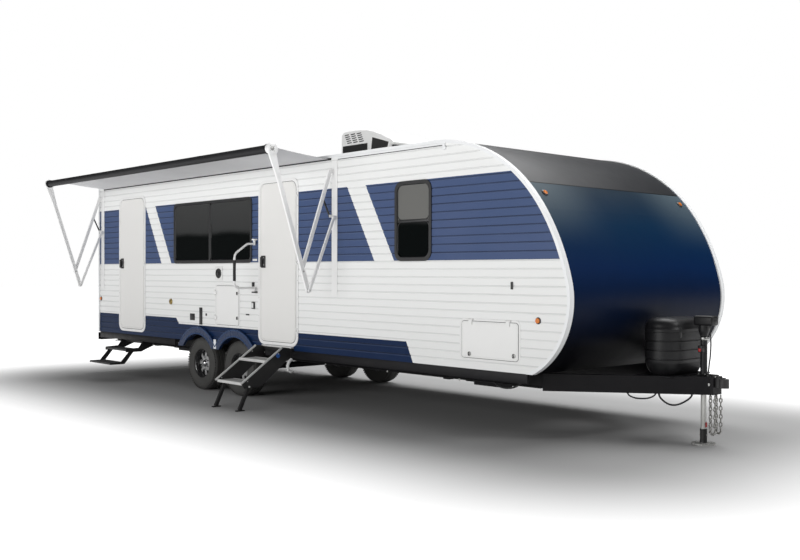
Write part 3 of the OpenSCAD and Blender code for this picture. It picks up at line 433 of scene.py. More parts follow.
rear_sheet = Finish("rear_siding", white_paint, 0.42, gleam=0.3)
rear_sheet.set("Base Color", rear_sheet.mix(rear_sheet.z - ground < band_top, white_paint, deep_navy))
rear_sheet.set("Roughness", rear_sheet.noise(5.0, 3.0) * 0.12 + 0.34)
rear_sheet.bump(rear_sheet.noise(1.6, 2.0, stretch=(1.0, 0.5, 3.0)), 0.004)
rear_sheet.dress("rear_wall")

# ---- Roof ----
# A deck on bows under light sheet rubber, laid in three widths with lapped seams; the
# bows show through as faint ridges.

roof_sheet = Finish("roof_rubber", grey(0.50), 0.7, gleam=0.2)
roof_dirt = roof_sheet.noise(2.2, 6.0)
roof_sheet.set("Base Color", roof_sheet.mix(roof_dirt, (0.54, 0.545, 0.54), (0.40, 0.405, 0.395)))
seam_y, bow_pitch, first_bow = 0.42, 0.61, 0.30
seam = abs(abs(roof_sheet.y) - seam_y) < 0.006
bow_line = abs((roof_sheet.x - back).wrap(bow_pitch) - first_bow) < 0.012
roof_sheet.bump(seam * 1.0 + bow_line * 0.4 + roof_sheet.noise(60.0, 3.0) * 0.3, 0.0015)
roof_sheet.dress("roof")

# ---- Nose cap ----
# Two moulded, gloss-painted sheets bent over the nose: charcoal above the seam, and
# below it a navy that fades to black at the foot, with a painted highlight near the top.

cap_top = Finish("cap_charcoal_gloss", (0.010, 0.011, 0.014), 0.36, gleam=0.25)
cap_top.set("Base Color", cap_top.mix(cap_top.noise(1.2, 3.0), (0.009, 0.010, 0.013), (0.016, 0.018, 0.022)))
cap_top.set("Roughness", cap_top.noise(7.0, 4.0) * 0.10 + 0.30)
cap_top.bump(cap_top.noise(2.2, 2.0), 0.004)
cap_top.dress("upper_cap")

cap_face = Finish("cap_navy_gloss", (0.004, 0.014, 0.052), 0.36, gleam=0.06)
cap_height = (cap_face.z - ground - 0.6) / 1.7 + (cap_face.noise(1.1, 2.0) - 0.5) * 0.06
fade = cap_face.node("ValToRGB", cap_height, stops=[
    (0.00, (0.002, 0.002, 0.003, 1.0)), (0.14, (0.002, 0.002, 0.004, 1.0)),
    (0.34, (0.001, 0.006, 0.024, 1.0)), (0.55, (0.001, 0.014, 0.060, 1.0)),
    (0.78, (0.001, 0.020, 0.056, 1.0)), (1.00, (0.010, 0.024, 0.040, 1.0))])
# painted highlight: the navy turns slate high up and towards the sides, where the overhead light's sheen
# falls
painted_highlight_up = cap_face.node("MapRange", cap_height, 0.62, 1.0, 0.0, 1.0, interpolation_type="SMOOTHSTEP")
painted_highlight_side = cap_face.node("MapRange", abs(cap_face.y), 0.25, 1.15, 0.0, 1.0, interpolation_type="SMOOTHSTEP")
tone = cap_face.mix(painted_highlight_up * painted_highlight_side * 0.8, fade, (0.085, 0.115, 0.135))
seam_shadow = cap_face.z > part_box("front_cap")[1].z - 0.007
cap_face.set("Base Color", cap_face.mix(seam_shadow, tone, (0.002, 0.002, 0.003)))
cap_face.set("Roughness", cap_face.noise(6.0, 3.0) * 0.08 + 0.34)
cap_face.bump(cap_face.noise(1.8, 2.0), 0.005)
cap_face.dress("front_cap")

# ---- White edge trims ----
# An extruded aluminium moulding, painted white, that closes the joint between each
# side wall and the roof, nose and rear; its screws hide under a ribbed vinyl insert.

wall_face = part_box("right_wall")[0].y
moulding = Finish("white_moulding", (0.80, 0.81, 0.82), 0.36)
moulding.worn((0.82, 0.83, 0.84), (0.74, 0.75, 0.755), 4.0, (0.30, 0.45))
insert = abs(abs(moulding.y) - abs(wall_face) - 0.006) < 0.0022
moulding.bump(insert * -1.0 + moulding.noise(400.0, 1.0) * 0.05, 0.0012)
moulding.dress("edge_trims")

# ---- Frame under the floor ----
# Two rolled I-rails with cross tubes and outriggers, and the A of the tongue, all
# welded and dipped in black.  Bolts run along the rails and screws along the skirt.

frame_paint = Finish("chassis_enamel", (0.006, 0.006, 0.008), 0.48, gleam=0.18)
frame_paint.worn((0.005, 0.005, 0.007), (0.013, 0.012, 0.013), 5.0, (0.34, 0.58), (240.0, 0.0006))
frame_paint.dress("chassis", "tongue_frame", "rear_bumper", "front_axle", "rear_axle", "leaf_springs",
                  "stabilizer_jacks")

under_sheet = Finish("underbelly_sheet", (0.018, 0.018, 0.020), 0.72)
under_sheet.worn((0.014, 0.014, 0.016), (0.030, 0.029, 0.030), 2.0, (0.6, 0.85))
under_sheet.bump((under_sheet.x * 40.0).sine() * 0.5 + under_sheet.noise(30.0, 3.0), 0.0015)
under_sheet.dress("floor", "wheel_wells")

zinc = Finish("zinc_plated", (0.42, 0.42, 0.41), 0.34, metallic=0.9)
zinc.worn((0.46, 0.46, 0.45), (0.30, 0.30, 0.29), 40.0, (0.28, 0.45))


def at(x, y, z):
    """A point given from the rear wall, from the middle and over the ground."""
    return Vector((back + x, y, ground + z))


bolts = bmesh.new()
rail_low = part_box("chassis")[0].z
rail_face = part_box("chassis")[1].y
bolt_r, bolt_head = 0.010, 0.007
for side in (-1, 1):
    # screws of the skirt angle, seen as bright dots under the siding
    for i in range(17):
        foot = at(0.30 + i * 0.49, side * (abs(wall_face) - 0.024), 0.0)
        if abs(foot.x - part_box("front_axle")[0].x + 0.3) < 0.9:
            continue
        foot.z = wall_foot - 0.052
        rod(bolts, foot, foot + Vector((0, side * 0.007, 0)), 0.006, 8)
    for x in (0.43, 1.53, 4.28, 5.33, 6.33, 7.33):
        for z in (0.035, 0.115):
            foot = at(x, side * (rail_face - 0.031), 0.0)
            foot.z = rail_low + z
            rod(bolts, foot, foot + Vector((0, side * bolt_head, 0)), bolt_r, 6)
settle("frame_bolts", bolts, zinc)


def block(mesh, low, high, edge=0.0, segments=2, paint=0):
    """A box between any two opposite corners, with rounded edges."""
    made = bmesh.ops.create_cube(mesh, size=1.0)["verts"]
    spans = list(zip(low, high))
    low, high = Vector([min(span) for span in spans]), Vector([max(span) for span in spans])
    bmesh.ops.scale(mesh, vec=high - low, verts=made)
    bmesh.ops.translate(mesh, vec=(low + high) / 2, verts=made)
    stay(mesh, made, paint)
    if edge:
        edges = list({e for v in made for e in v.link_edges})
        made = bmesh.ops.bevel(mesh, geom=edges, offset=edge, segments=segments, profile=0.5,
                               affect="EDGES", material=-1)["verts"]
    return made


# A pressed angle closes the foot of each wall, before and behind the wheels.
skirt_angle = bmesh.new()
foot_z = wall_foot - 0.001
for side in (-1, 1):
    for x0, x1 in ((0.02, 2.20), (4.26, 8.18)):
        block(skirt_angle, (back + x0, side * (abs(wall_face) - 0.026), foot_z - 0.085),
              (back + x1, side * (abs(wall_face) - 0.004), foot_z), 0.003)
settle("skirt_angles", skirt_angle, frame_paint)


def tube(mesh, points, radius, sides=10, paint=0):
    """A bent round tube through points, closed at both ends."""
    points = [Vector(p) for p in points]
    rings = []
    lean = None
    for i, point in enumerate(points):
        run = (points[min(i + 1, len(points) - 1)] - points[max(i - 1, 0)]).normalized()
        lean = run.orthogonal().normalized() if lean is None else (lean - run * lean.dot(run)).normalized()
        ring = bmesh.ops.create_circle(mesh, segments=sides, radius=radius)["verts"]
        turn = Matrix((lean, run.cross(lean), run)).transposed().to_4x4()
        bmesh.ops.transform(mesh, matrix=Matrix.Translation(point) @ turn, verts=ring)
        rings.append(ring)
    faces = []
    for low, high in zip(rings, rings[1:]):
        edges = [e for ring in (low, high) for e in {e for v in ring for e in v.link_edges}
                 if all(v in ring for v in e.verts)]
        faces += bmesh.ops.bridge_loops(mesh, edges=edges)["faces"]
    faces += [mesh.faces.new(rings[0]), mesh.faces.new(rings[-1])]
    bmesh.ops.recalc_face_normals(mesh, faces=faces)
    for face in faces:
        face.material_index = paint
    return faces


# Gas pipe and brake harness hang below the underbelly.
lines = bmesh.new()
pipe_run = [(0.6, -0.70, 0.50), (1.6, -0.70, 0.495), (2.2, -0.62, 0.53), (4.2, -0.60, 0.53),
            (5.4, -0.58, 0.50), (6.8, -0.58, 0.50), (7.7, -0.50, 0.51)]
tube(lines, [at(*point) for point in pipe_run], 0.012)
tube(lines, [at(x, -y, z - 0.01) for x, y, z in pipe_run], 0.009)
settle("under_floor_lines", lines, frame_paint)


# ---- Tyres ----
# Radial trailer tyres: five ribs of rubber round the tread with straight grooves between
# them, round shoulders with lugs, and a raised band and rim line on each side wall.

rubber = Finish("tyre_rubber", (0.024, 0.024, 0.0235), 0.75)
rubber_dust = rubber.noise(9.0, 5.0)
rubber.set("Base Color", rubber.mix(rubber_dust, (0.034, 0.034, 0.033), (0.066, 0.065, 0.061)))
rubber.set("Roughness", rubber_dust * 0.2 + 0.62)
rubber.bump(rubber.noise(700.0, 2.0), 0.0004)

rim_black = Finish("rim_gloss_black", (0.012, 0.012, 0.013), 0.22, coat=0.6)
rim_black.worn((0.010, 0.010, 0.011), (0.020, 0.020, 0.021), 12.0, (0.18, 0.34))
chrome = Finish("bright_chrome", (0.62, 0.62, 0.63), 0.10, metallic=1.0)
chrome.worn((0.66, 0.66, 0.67), (0.50, 0.50, 0.51), 30.0, (0.08, 0.2))

machined = Finish("machined_face", (0.42, 0.42, 0.42), 0.32, metallic=0.4)
machined.worn((0.46, 0.46, 0.46), (0.30, 0.30, 0.30), 24.0, (0.26, 0.42))

tyre_low, tyre_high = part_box("tyre_right_front")
tyre_r = (tyre_high.z - tyre_low.z) / 2
tyre_half = (tyre_high.y - tyre_low.y) / 2
bead_r = 0.179
groove_ys, groove_depth = (-0.058, -0.021, 0.021, 0.058), 0.008
lugs = 60


def tread_profile():
    """Half the tyre's section, from the inner bead over the tread to the outer bead."""
    side = [(-0.088, bead_r), (-0.094, bead_r + 0.006), (-0.094, bead_r + 0.014), (-0.097, bead_r + 0.020),
            (-0.1015, 0.225), (-tyre_half, 0.250), (-0.1020, 0.268), (-0.1022, 0.270), (-0.0998, 0.288),
            (-0.093, 0.306), (-0.084, 0.3165), (-0.079, 0.3225)]
    tread = []
    for y in groove_ys:
        rise = tyre_r - 0.35 * y * y
        floor = rise - groove_depth
        tread += [(y - 0.0055, rise), (y - 0.004, floor), (y + 0.004, floor), (y + 0.0055, rise)]
    return side + tread + [(-y, r) for y, r in reversed(side)]


def turned(mesh, profile, centre, axis, steps=48, paint=0):
    """A profile of (distance along the axis, radius) spun once round the axis."""
    axis = Vector(axis).normalized()
    across = axis.orthogonal().normalized()
    verts = [mesh.verts.new(Vector(centre) + axis * along + across * radius) for along, radius in profile]
    edges = [mesh.edges.new(pair) for pair in zip(verts, verts[1:])]
    before = set(mesh.faces)
    bmesh.ops.spin(mesh, geom=verts + edges, cent=centre, axis=axis, angle=math.tau, steps=steps,
                   use_merge=True)
    faces = [f for f in mesh.faces if f not in before]
    made = list({v for f in faces for v in f.verts})
    bmesh.ops.remove_doubles(mesh, verts=made, dist=1e-6)
    faces = [f for f in mesh.faces if f.is_valid and f not in before]
    bmesh.ops.recalc_face_normals(mesh, faces=faces)
    for face in faces:
        face.material_index = paint
    return faces


def build_tyre(name, body):
    low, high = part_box(name)
    middle = (low + high) / 2
    mesh = bmesh.new()
    turned(mesh, tread_profile(), middle, (0, 1, 0), steps=96)
    # shoulder lugs, a quarter of a pitch apart on the two sides
    for side in (-1, 1):
        for i in range(lugs):
            angle = math.tau * (i + (0.25 if side > 0 else 0.0)) / lugs
            across = side * 0.088
            made = block(mesh, (-0.0085, across - 0.009, 0.309), (0.0085, across + 0.009, 0.322))
            place = Matrix.Translation(middle) @ Matrix.Rotation(angle, 4, "Y")
            bmesh.ops.transform(mesh, matrix=place, verts=made)
    settle(name + "_tread", mesh, rubber, body, [name], smooth=28.0)


def build_rim(name, body, side):
    low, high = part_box(name)
    middle = (low + high) / 2
    middle.y = -side * (tyre_low.y + tyre_high.y) / 2
    mesh = bmesh.new()
    out = Vector((0, side, 0))
    # barrel with its two lips, drop centre and the dish
    turned(mesh, [(-0.081, 0.150), (-0.082, 0.176), (-0.078, 0.178), (-0.074, 0.171), (-0.040, 0.168),
                  (-0.020, 0.158), (0.030, 0.158), (0.045, 0.166), (0.068, 0.169), (0.074, 0.176),
                  (0.080, 0.178), (0.082, 0.174), (0.077, 0.165), (0.066, 0.161), (0.045, 0.152),
                  (0.030, 0.148), (-0.070, 0.148), (-0.081, 0.150)], middle, out, 72)
    # eight-window disc: a dished ring and the spokes that bridge it to the barrel
    turned(mesh, [(0.020, 0.052), (0.034, 0.054), (0.037, 0.070), (0.034, 0.094), (0.028, 0.098),
                  (0.020, 0.092), (0.018, 0.060), (0.020, 0.052)], middle, out, 72, paint=2)
    for i in range(8):
        made = block(mesh, (-0.024, -0.006, 0.090), (0.024, 0.006, 0.153), 0.004, 2, 2)
        inner = [v for v in made if v.is_valid and v.co.z < 0.12]
        bmesh.ops.scale(mesh, vec=(0.78, 1, 1), verts=inner)
        bmesh.ops.translate(mesh, vec=(0, side * 0.010, 0), verts=inner)
        place = Matrix.Translation(middle + out * 0.022) @ Matrix.Rotation(math.tau * i / 8, 4, "Y")
        bmesh.ops.transform(mesh, matrix=place, verts=[v for v in made if v.is_valid])
    # chromed grease cap, six lug nuts and the valve
    turned(mesh, [(-0.010, 0.0525), (0.038, 0.0525), (0.042, 0.050), (0.043, 0.040), (0.056, 0.037),
                  (0.064, 0.030), (0.068, 0.016), (0.069, 0.0002)], middle, out, 40, paint=1)
    for i in range(6):
        angle = math.tau * (i + 0.5) / 6
        foot = middle + Vector((math.cos(angle) * 0.076, 0, math.sin(angle) * 0.076)) + out * 0.032
        rod(mesh, foot, foot + out * 0.022, 0.0105, 6, 0.0095, paint=1)
        rod(mesh, foot + out * 0.022, foot + out * 0.028, 0.0085, 12, 0.004, paint=1)
    valve = middle + Vector((0.0, 0, 0.140)) + out * 0.028
    rod(mesh, valve, valve + out * 0.030 + Vector((0, 0, -0.008)), 0.004, 8, paint=1)
    # hub behind the disc and the drum's face
    turned(mesh, [(-0.060, 0.050), (0.020, 0.050)], middle, out, 32)
    settle(name + "_wheel", mesh, [rim_black, chrome, machined], body, [name])


for place, side in (("right_front", -1), ("right_rear", -1), ("left_front", 1), ("left_rear", 1)):
    build_tyre("tyre_" + place, "wheel_" + place)
    build_rim("rim_" + place, "wheel_" + place, side)

# ---- Arch skirts ----
# One vacuum-formed navy plastic moulding a side, double-arched over the wheels, with a
# round bead along each arch, painted lighter as a highlight, and a flat blank label between them.

skirt_gloss = Finish("skirt_navy_gloss", (0.006, 0.020, 0.066), 0.28, gleam=0.25)
skirt_gloss.worn((0.006, 0.020, 0.066), (0.009, 0.027, 0.082), 5.0, (0.22, 0.34))
skirt_gloss.dress("fender_skirts")
label_white = Finish("blank_label", (0.78, 0.80, 0.83), 0.5)
label_white.worn((0.80, 0.82, 0.85), (0.70, 0.72, 0.75), 60.0, (0.45, 0.6))

arch_r, arch_top, skirt_w = 0.440, 0.705, 0.095
bead_thick, bead_steps = 0.0095, 40
skirt_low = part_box("fender_skirts")[0]
skirt_face = abs(skirt_low.y)
axle_places = [(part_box(n)[0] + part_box(n)[1]) / 2 for n in ("tyre_right_rear", "tyre_right_front")]
beads = bmesh.new()
for side in (-1, 1):
    for number, axle in enumerate(axle_places):
        centre = Vector((axle.x, side * (skirt_face - 0.004), ground + arch_top - arch_r))
        for radius in (arch_r + 0.010, arch_r + skirt_w - 0.012):
            # from the skirt's foot to where the two arches meet
            spread = math.acos((skirt_low.z - centre.z + 0.075) / radius)
            inward = math.asin(min(1.0, (axle_places[1].x - axle_places[0].x) / 2 / radius))
            if radius < arch_r + 0.05:
                inward = min(spread, inward)
            first, last = (-spread, inward) if number == 0 else (-inward, spread)
            angles = [first + (last - first) * i / bead_steps for i in range(bead_steps + 1)]
            arch = [centre + Vector((math.sin(a), 0, math.cos(a))) * radius for a in angles]
            tube(beads, arch, bead_thick, 8)
# the beads are a lighter navy than the skirt: a painted highlight for the light their round edges catch
bead_painted_highlight = Finish("bead_highlight", (0.040, 0.075, 0.170), 0.25)
bead_painted_highlight.worn((0.045, 0.082, 0.180), (0.026, 0.052, 0.125), 8.0, (0.2, 0.32))
settle("skirt_beads", beads, bead_painted_highlight)
labels = bmesh.new()
for side in (-1, 1):
    middle = (axle_places[0].x + axle_places[1].x) / 2
    low_z = ground + 0.545
    y = side * (skirt_face + 0.0008)
    block(labels, (middle - 0.028, y - side * 0.002, low_z), (middle + 0.028, y, low_z + 0.115), 0.0005, 1)
settle("blank_labels", labels, label_white)


# ---- Entry doors ----
# Smooth fibreglass-faced doors with round corners, each hung on three pins at its
# front edge in a white frame, with a rubber seal round it and a black paddle latch.

latch_black = Finish("latch_black", (0.012, 0.012, 0.013), 0.38)
latch_black.worn((0.010, 0.010, 0.011), (0.022, 0.022, 0.022), 40.0, (0.30, 0.48), (700.0, 0.0002))
seal_rubber = Finish("seal_rubber", (0.030, 0.030, 0.032), 0.8)
seal_rubber.worn((0.024, 0.024, 0.026), (0.045, 0.045, 0.046), 30.0, (0.7, 0.9))

door_face = Finish("door_gelcoat", (0.74, 0.735, 0.715), 0.34, gleam=0.4)
door_face.worn((0.745, 0.740, 0.722), (0.715, 0.708, 0.690), 1.4, (0.28, 0.40))
door_face.bump(door_face.noise(2.5, 2.0) * 1.0 + door_face.noise(300.0, 2.0) * 0.04, 0.0018)
door_face.dress("front_door", "rear_door")
frame_white = Finish("frame_white", (0.79, 0.79, 0.785), 0.36, coat=0.25)
frame_white.worn((0.80, 0.80, 0.795), (0.72, 0.72, 0.712), 6.0, (0.30, 0.45), (500.0, 0.0002))
frame_white.dress("door_frames", "hatch_frames")


def rounded_rectangle(low, high, radius, arc=6):
    """Corner points of a rectangle with round corners, as (across, up) pairs."""
    (x0, z0), (x1, z1) = low, high
    corners = (((x1 - radius, z1 - radius), 0), ((x0 + radius, z1 - radius), 90),
               ((x0 + radius, z0 + radius), 180), ((x1 - radius, z0 + radius), 270))
    return [(cx + radius * math.cos(math.radians(a + 90 * i / arc)),
             cz + radius * math.sin(math.radians(a + 90 * i / arc)))
            for (cx, cz), a in corners for i in range(arc + 1)]


def bead(mesh, y, low, high, radius, thick, arc=6):
    """A thin bead along a rectangle with round corners, at one distance from the middle."""
    ring = [Vector((x, y, z)) for x, z in rounded_rectangle(low, high, radius, arc)]
    tube(mesh, ring + ring[:2], thick, 6)


leaf_width = 0.6934
skin_y = wall_face - 0.007
for node, body in (("front_door", "front_entry"), ("rear_door", "rear_entry")):
    low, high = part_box(node)
    left, right = low.x, low.x + leaf_width
    foot, head = low.z, high.z
    # raised rim round the door's face
    rim = bmesh.new()
    bead(rim, skin_y - 0.0002, (left + 0.016, foot + 0.016), (right - 0.016, head - 0.016), 0.084, 0.0032, 8)
    settle(node + "_rim", rim, door_face, body)
    latch = bmesh.new()
    middle = Vector((left + 0.0725, skin_y, foot + 0.9067))
    # back plate, paddle and thumb guard, each from its corners about the middle
    for low_corner, high_corner, edge, segments in (
            ((-0.037, -0.0155, -0.070), (0.037, 0.001, 0.070), 0.006, 3),
            ((-0.024, -0.040, -0.060), (0.006, -0.0148, 0.056), 0.007, 3),
            ((-0.028, -0.026, 0.020), (0.018, -0.0148, 0.058), 0.005, 2)):
        block(latch, middle + Vector(low_corner), middle + Vector(high_corner), edge, segments)
    # two lock barrels and the key slot of the lower one
    for up, radius, sides, edge in ((-0.035, 0.012, 24, 0.0015), (0.045, 0.009, 20, 0.001)):
        barrel = middle + Vector((0.020, 0, up))
        rod(latch, barrel - Vector((0, 0.001, 0)), barrel - Vector((0, 0.0185, 0)), radius, sides,
            edge=edge, paint=1)
    block(latch, middle + Vector((0.0188, -0.0192, -0.041)), middle + Vector((0.0212, -0.0180, -0.029)),
          0.0003, 1)
    settle(node + "_latch", latch, [latch_black, chrome], body)
    # bulb seal between the door and its frame
    seal = bmesh.new()
    bead(seal, wall_face + 0.001, (left - 0.004, foot - 0.004), (right + 0.004, head + 0.004),
         0.094, 0.0022, 8)
    settle(node + "_seal", seal, seal_rubber)

screws = bmesh.new()
screw_inset, screw_pitch = 0.027, 0.206
for node in ("front_door", "rear_door"):
    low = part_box(node)[0]
    for z in [low.z + 0.08 + i * screw_pitch for i in range(9)]:
        for x in (low.x - screw_inset, low.x + leaf_width + screw_inset):
            rod(screws, (x, wall_face - 0.0048, z), (x, wall_face - 0.0068, z), 0.0042, 10, 0.003)
settle("door_frame_screws", screws, zinc)

# ---- Compartment lids ----
# Flat sandwich lids with a folded rim, hung on pins in a white frame.  The baggage
# lids close with two turn latches at the foot, the utility hatch with two at its front edge.

lid_white = Finish("lid_white", (0.79, 0.79, 0.78), 0.36, coat=0.25)
lid_white.worn((0.80, 0.80, 0.79), (0.74, 0.74, 0.73), 2.4, (0.30, 0.44))
lid_white.bump(lid_white.noise(3.0, 2.0) + lid_white.noise(500.0, 1.0) * 0.03, 0.0012)
lid_white.dress("baggage_door_right", "baggage_door_left", "utility_hatch")


def lid_detail(node, body, side, latches, corners):
    """A lid's rim and turn latches, which ride on it, and its gasket in the wall."""
    face = side * (abs(wall_face) + 0.004)
    (x0, z0), (x1, z1) = corners
    rim = bmesh.new()
    bead(rim, face, (x0 + 0.012, z0 + 0.012), (x1 - 0.012, z1 - 0.012), 0.020, 0.0026)
    settle(node + "_rim", rim, lid_white, body)
    gasket = bmesh.new()
    bead(gasket, face - side * 0.003, (x0 - 0.0015, z0 - 0.0015), (x1 + 0.0015, z1 + 0.0015), 0.033, 0.0024)
    settle(node + "_gasket", gasket, seal_rubber)
    catches = bmesh.new()
    for x, z in latches:
        rod(catches, (x, face, z), (x, face + side * 0.007, z), 0.021, 28, 0.019, edge=0.0015, paint=1)
        block(catches, (x - 0.005, face + side * 0.006, z - 0.018),
              (x + 0.005, face + side * 0.015, z + 0.018), 0.002)
        rod(catches, (x, face + side * 0.014, z), (x, face + side * 0.016, z), 0.0035, 10, paint=1)
    settle(node + "_latches", catches, [latch_black, zinc], body)


bag_low, bag_high = at(7.405, 0, 0.715), at(8.085, 0, 1.045)
bag_corners = ((bag_low.x, bag_low.z), (bag_high.x, bag_high.z))
bag_spots = [(bag_low.x + 0.10, bag_low.z + 0.035), (bag_high.x - 0.05, bag_low.z + 0.045)]
lid_detail("baggage_door_right", "baggage_right", -1, bag_spots, bag_corners)
lid_detail("baggage_door_left", "baggage_left", 1, bag_spots, bag_corners)
hatch_low, hatch_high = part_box("utility_hatch")
hatch_corners = ((hatch_low.x + 0.021, hatch_low.z), (hatch_high.x, hatch_high.z))
hatch_spots = [(hatch_high.x - 0.030, hatch_low.z + z) for z in (0.090, 0.385)]
lid_detail("utility_hatch", "hatch", -1, hatch_spots, hatch_corners)

# ---- Windows ----
# Black clamp frames round deep-tinted panes.  The long windows slide past a middle
# bar, the bedroom ones have a screened upper half over a bar, with a catch on it.

sash_black = Finish("sash_black", (0.010, 0.010, 0.011), 0.40)
sash_black.worn((0.009, 0.009, 0.010), (0.020, 0.020, 0.021), 8.0, (0.34, 0.48), (600.0, 0.0002))
sash_black.dress("window_frames")

bed_left, bed_right = back + 6.506, back + 6.991
win_foot, win_head = ground + 1.611, ground + 2.356
win_mid = (win_foot + win_head) / 2
tint = Finish("tinted_pane", (0.006, 0.007, 0.007), 0.05, gleam=0.3)
screened = tint.between(tint.x, bed_left, bed_right) * (tint.z > win_mid)
weave = abs((tint.x * 900.0).sine()) * abs((tint.z * 900.0).sine())
painted_reflection_height = ((tint.z - win_foot) / (win_head - win_foot)).clamp()
# a painted reflection: the pane is dark below a soft, uneven skyline and lighter above it, as the sky shows
# in any outdoor window
skyline = painted_reflection_height + tint.noise(0.9, 2.0, stretch=(1.0, 1.0, 0.0)) * 0.16
sky_share = tint.node("MapRange", skyline, 0.50, 0.62, 0.0, 1.0, interpolation_type="SMOOTHSTEP")
lit_half = tint.mix(painted_reflection_height, (0.030, 0.031, 0.031), (0.050, 0.051, 0.051))
pane_tone = tint.mix(sky_share * (1 - screened), (0.002, 0.003, 0.003), lit_half)
tint.set("Base Color", tint.mix(screened, pane_tone, (0.125, 0.125, 0.118)))
tint.set("Roughness", screened * 0.35 + tint.noise(2.0, 2.0) * 0.03 + 0.04)
tint.bump(tint.noise(1.2, 1.0) + screened * weave * 0.05, 0.0015)
tint.dress("window_glass")

sashes = bmesh.new()
split = back + 2.195 + 0.485 * 1.782    # where the long window's halves meet
for side in (-1, 1):
    face = side * (abs(wall_face) - 0.0035)
    out = side * (abs(wall_face) + 0.0045)
    # meeting bar and thin beads of the bedroom window
    block(sashes, (bed_left + 0.017, face, win_mid - 0.011), (bed_right - 0.017, out, win_mid + 0.011), 0.003)
    for low_z, high_z in ((win_foot + 0.020, win_mid - 0.010), (win_mid + 0.010, win_head - 0.020)):
        bead(sashes, face, (bed_left + 0.022, low_z), (bed_right - 0.022, high_z), 0.055, 0.005)
    # sash rims and the sliding half's pull of the long window, and weep slots
    for x0, x1 in ((back + 2.216, split - 0.019), (split + 0.019, back + 3.956)):
        bead(sashes, face, (x0, win_foot + 0.022), (x1, win_head - 0.022), 0.036, 0.0055)
    block(sashes, (split + 0.026, face, win_mid - 0.07), (split + 0.040, out, win_mid + 0.07), 0.003)
    for x in (back + 2.6, back + 3.5, bed_left + 0.24):
        block(sashes, (x - 0.02, out, win_foot - 0.006), (x + 0.02, out + side * 0.004, win_foot + 0.002),
              0.001, 1)
settle("window_sashes", sashes, sash_black)

# ---- Small fittings of the entry side ----
# Furnace and water-heater vents, a shower port, an outside light, a socket and the
# water inlet, each on its own gasket.  All are blank mouldings.

brass = Finish("brass_inlet", (0.45, 0.33, 0.12), 0.3, metallic=0.9)
brass.worn((0.48, 0.36, 0.14), (0.30, 0.22, 0.09), 50.0, (0.25, 0.45))
lens_clear = Finish("light_lens", (0.72, 0.73, 0.72), 0.2, coat=0.4)
lens_clear.bump(abs((lens_clear.x * 700.0).sine()), 0.0008)
plate_white = Finish("plate_white", (0.74, 0.74, 0.73), 0.4)
plate_white.worn((0.76, 0.76, 0.75), (0.66, 0.66, 0.65), 30.0, (0.35, 0.5), (500.0, 0.0002))

fittings = bmesh.new()


def fit(x, z, w, h, depth, edge=0.003, paint=0, lift=0.0):
    """A box screwed to the entry side, given by its middle, width, height and depth."""
    spot = at(x, 0, z)
    block(fittings, (spot.x - w / 2, wall_face - depth - lift, spot.z - h / 2),
          (spot.x + w / 2, wall_face - lift, spot.z + h / 2), edge, 2, paint)


# shower port: square plate, black dished ring and knob
fit(3.272, 1.470, 0.168, 0.168, 0.006, 0.002, 1)
spot = at(3.272, 0, 1.470)
port = [(0.0, 0.060), (0.010, 0.060), (0.014, 0.055), (0.014, 0.048), (0.006, 0.044), (0.006, 0.026),
        (0.018, 0.022), (0.020, 0.014), (0.020, 0.0002)]
turned(fittings, port, (spot.x, wall_face - 0.002, spot.z), (0, -1, 0), 40)
# louvred vents over the wheels
for x, z, w, h, slat_w, slats, first_z in ((2.648, 0.916, 0.110, 0.085, 0.092, 4, 0.890),
                                           (2.853, 0.933, 0.066, 0.215, 0.052, 11, 0.843)):
    fit(x, z, w, h, 0.008)
    for i in range(slats):
        fit(x, first_z + i * 0.018, slat_w, 0.006, 0.006, 0.001, 0, 0.007)
# outside light with its hood, socket cover and small switch plate
fit(4.030, 1.098, 0.056, 0.084, 0.020, 0.008)
fit(4.030, 1.098, 0.038, 0.060, 0.006, 0.003, 3, 0.019)
fit(4.020, 1.330, 0.050, 0.075, 0.007, 0.002)
fit(4.020, 1.326, 0.036, 0.044, 0.003, 0.001, 0, 0.0065)
fit(4.053, 1.628, 0.090, 0.024, 0.004, 0.001, 1)
fit(3.900, 0.985, 0.070, 0.016, 0.003, 0.001, 0)
# water inlet and the low rear socket
inlet = at(2.100, 0, 1.098)
turned(fittings, [(0.0, 0.038), (0.006, 0.038), (0.010, 0.034), (0.010, 0.022), (0.018, 0.020),
                  (0.020, 0.014), (0.008, 0.010), (0.008, 0.0002)],
       (inlet.x, wall_face - 0.001, inlet.z), (0, -1, 0), 32, 2)
fit(8.010, 1.372, 0.026, 0.066, 0.008)
fit(2.98, 0.955, 0.030, 0.030, 0.006, 0.002)
settle("entry_side_fittings", fittings, [latch_black, plate_white, brass, lens_clear],
       replaces=["wall_fittings"])


# ---- Awning arms ----
# White powder-coated extrusions: a long wall arm, an outer arm with a tail and a brace,
# pinned side by side, and a black gas strut that lifts each wall arm.

arm_coat = Finish("arm_powder_white", (0.80, 0.80, 0.80), 0.38)
arm_coat.worn((0.83, 0.83, 0.83), (0.79, 0.79, 0.785), 7.0, (0.34, 0.46))

arm_coat.dress("awning_wall_arms", "awning_outer_arms", "awning_braces")
strut_paint = Finish("strut_black", (0.012, 0.012, 0.013), 0.3)
strut_paint.worn((0.010, 0.010, 0.011), (0.024, 0.024, 0.024), 20.0, (0.22, 0.4))
strut_paint.dress("awning_struts")

# the wall channels are white, the long rail that grips the cloth is black
channel = Finish("awning_channel", (0.80, 0.80, 0.80), 0.38)
rail_line = ground + 2.668
channel.set("Base Color", channel.mix(channel.z > rail_line, (0.80, 0.80, 0.795), (0.012, 0.012, 0.013)))
channel.set("Roughness", channel.noise(9.0, 3.0) * 0.15 + 0.33)
channel.bump(channel.noise(500.0, 2.0), 0.0003)
channel.dress("awning_channels")

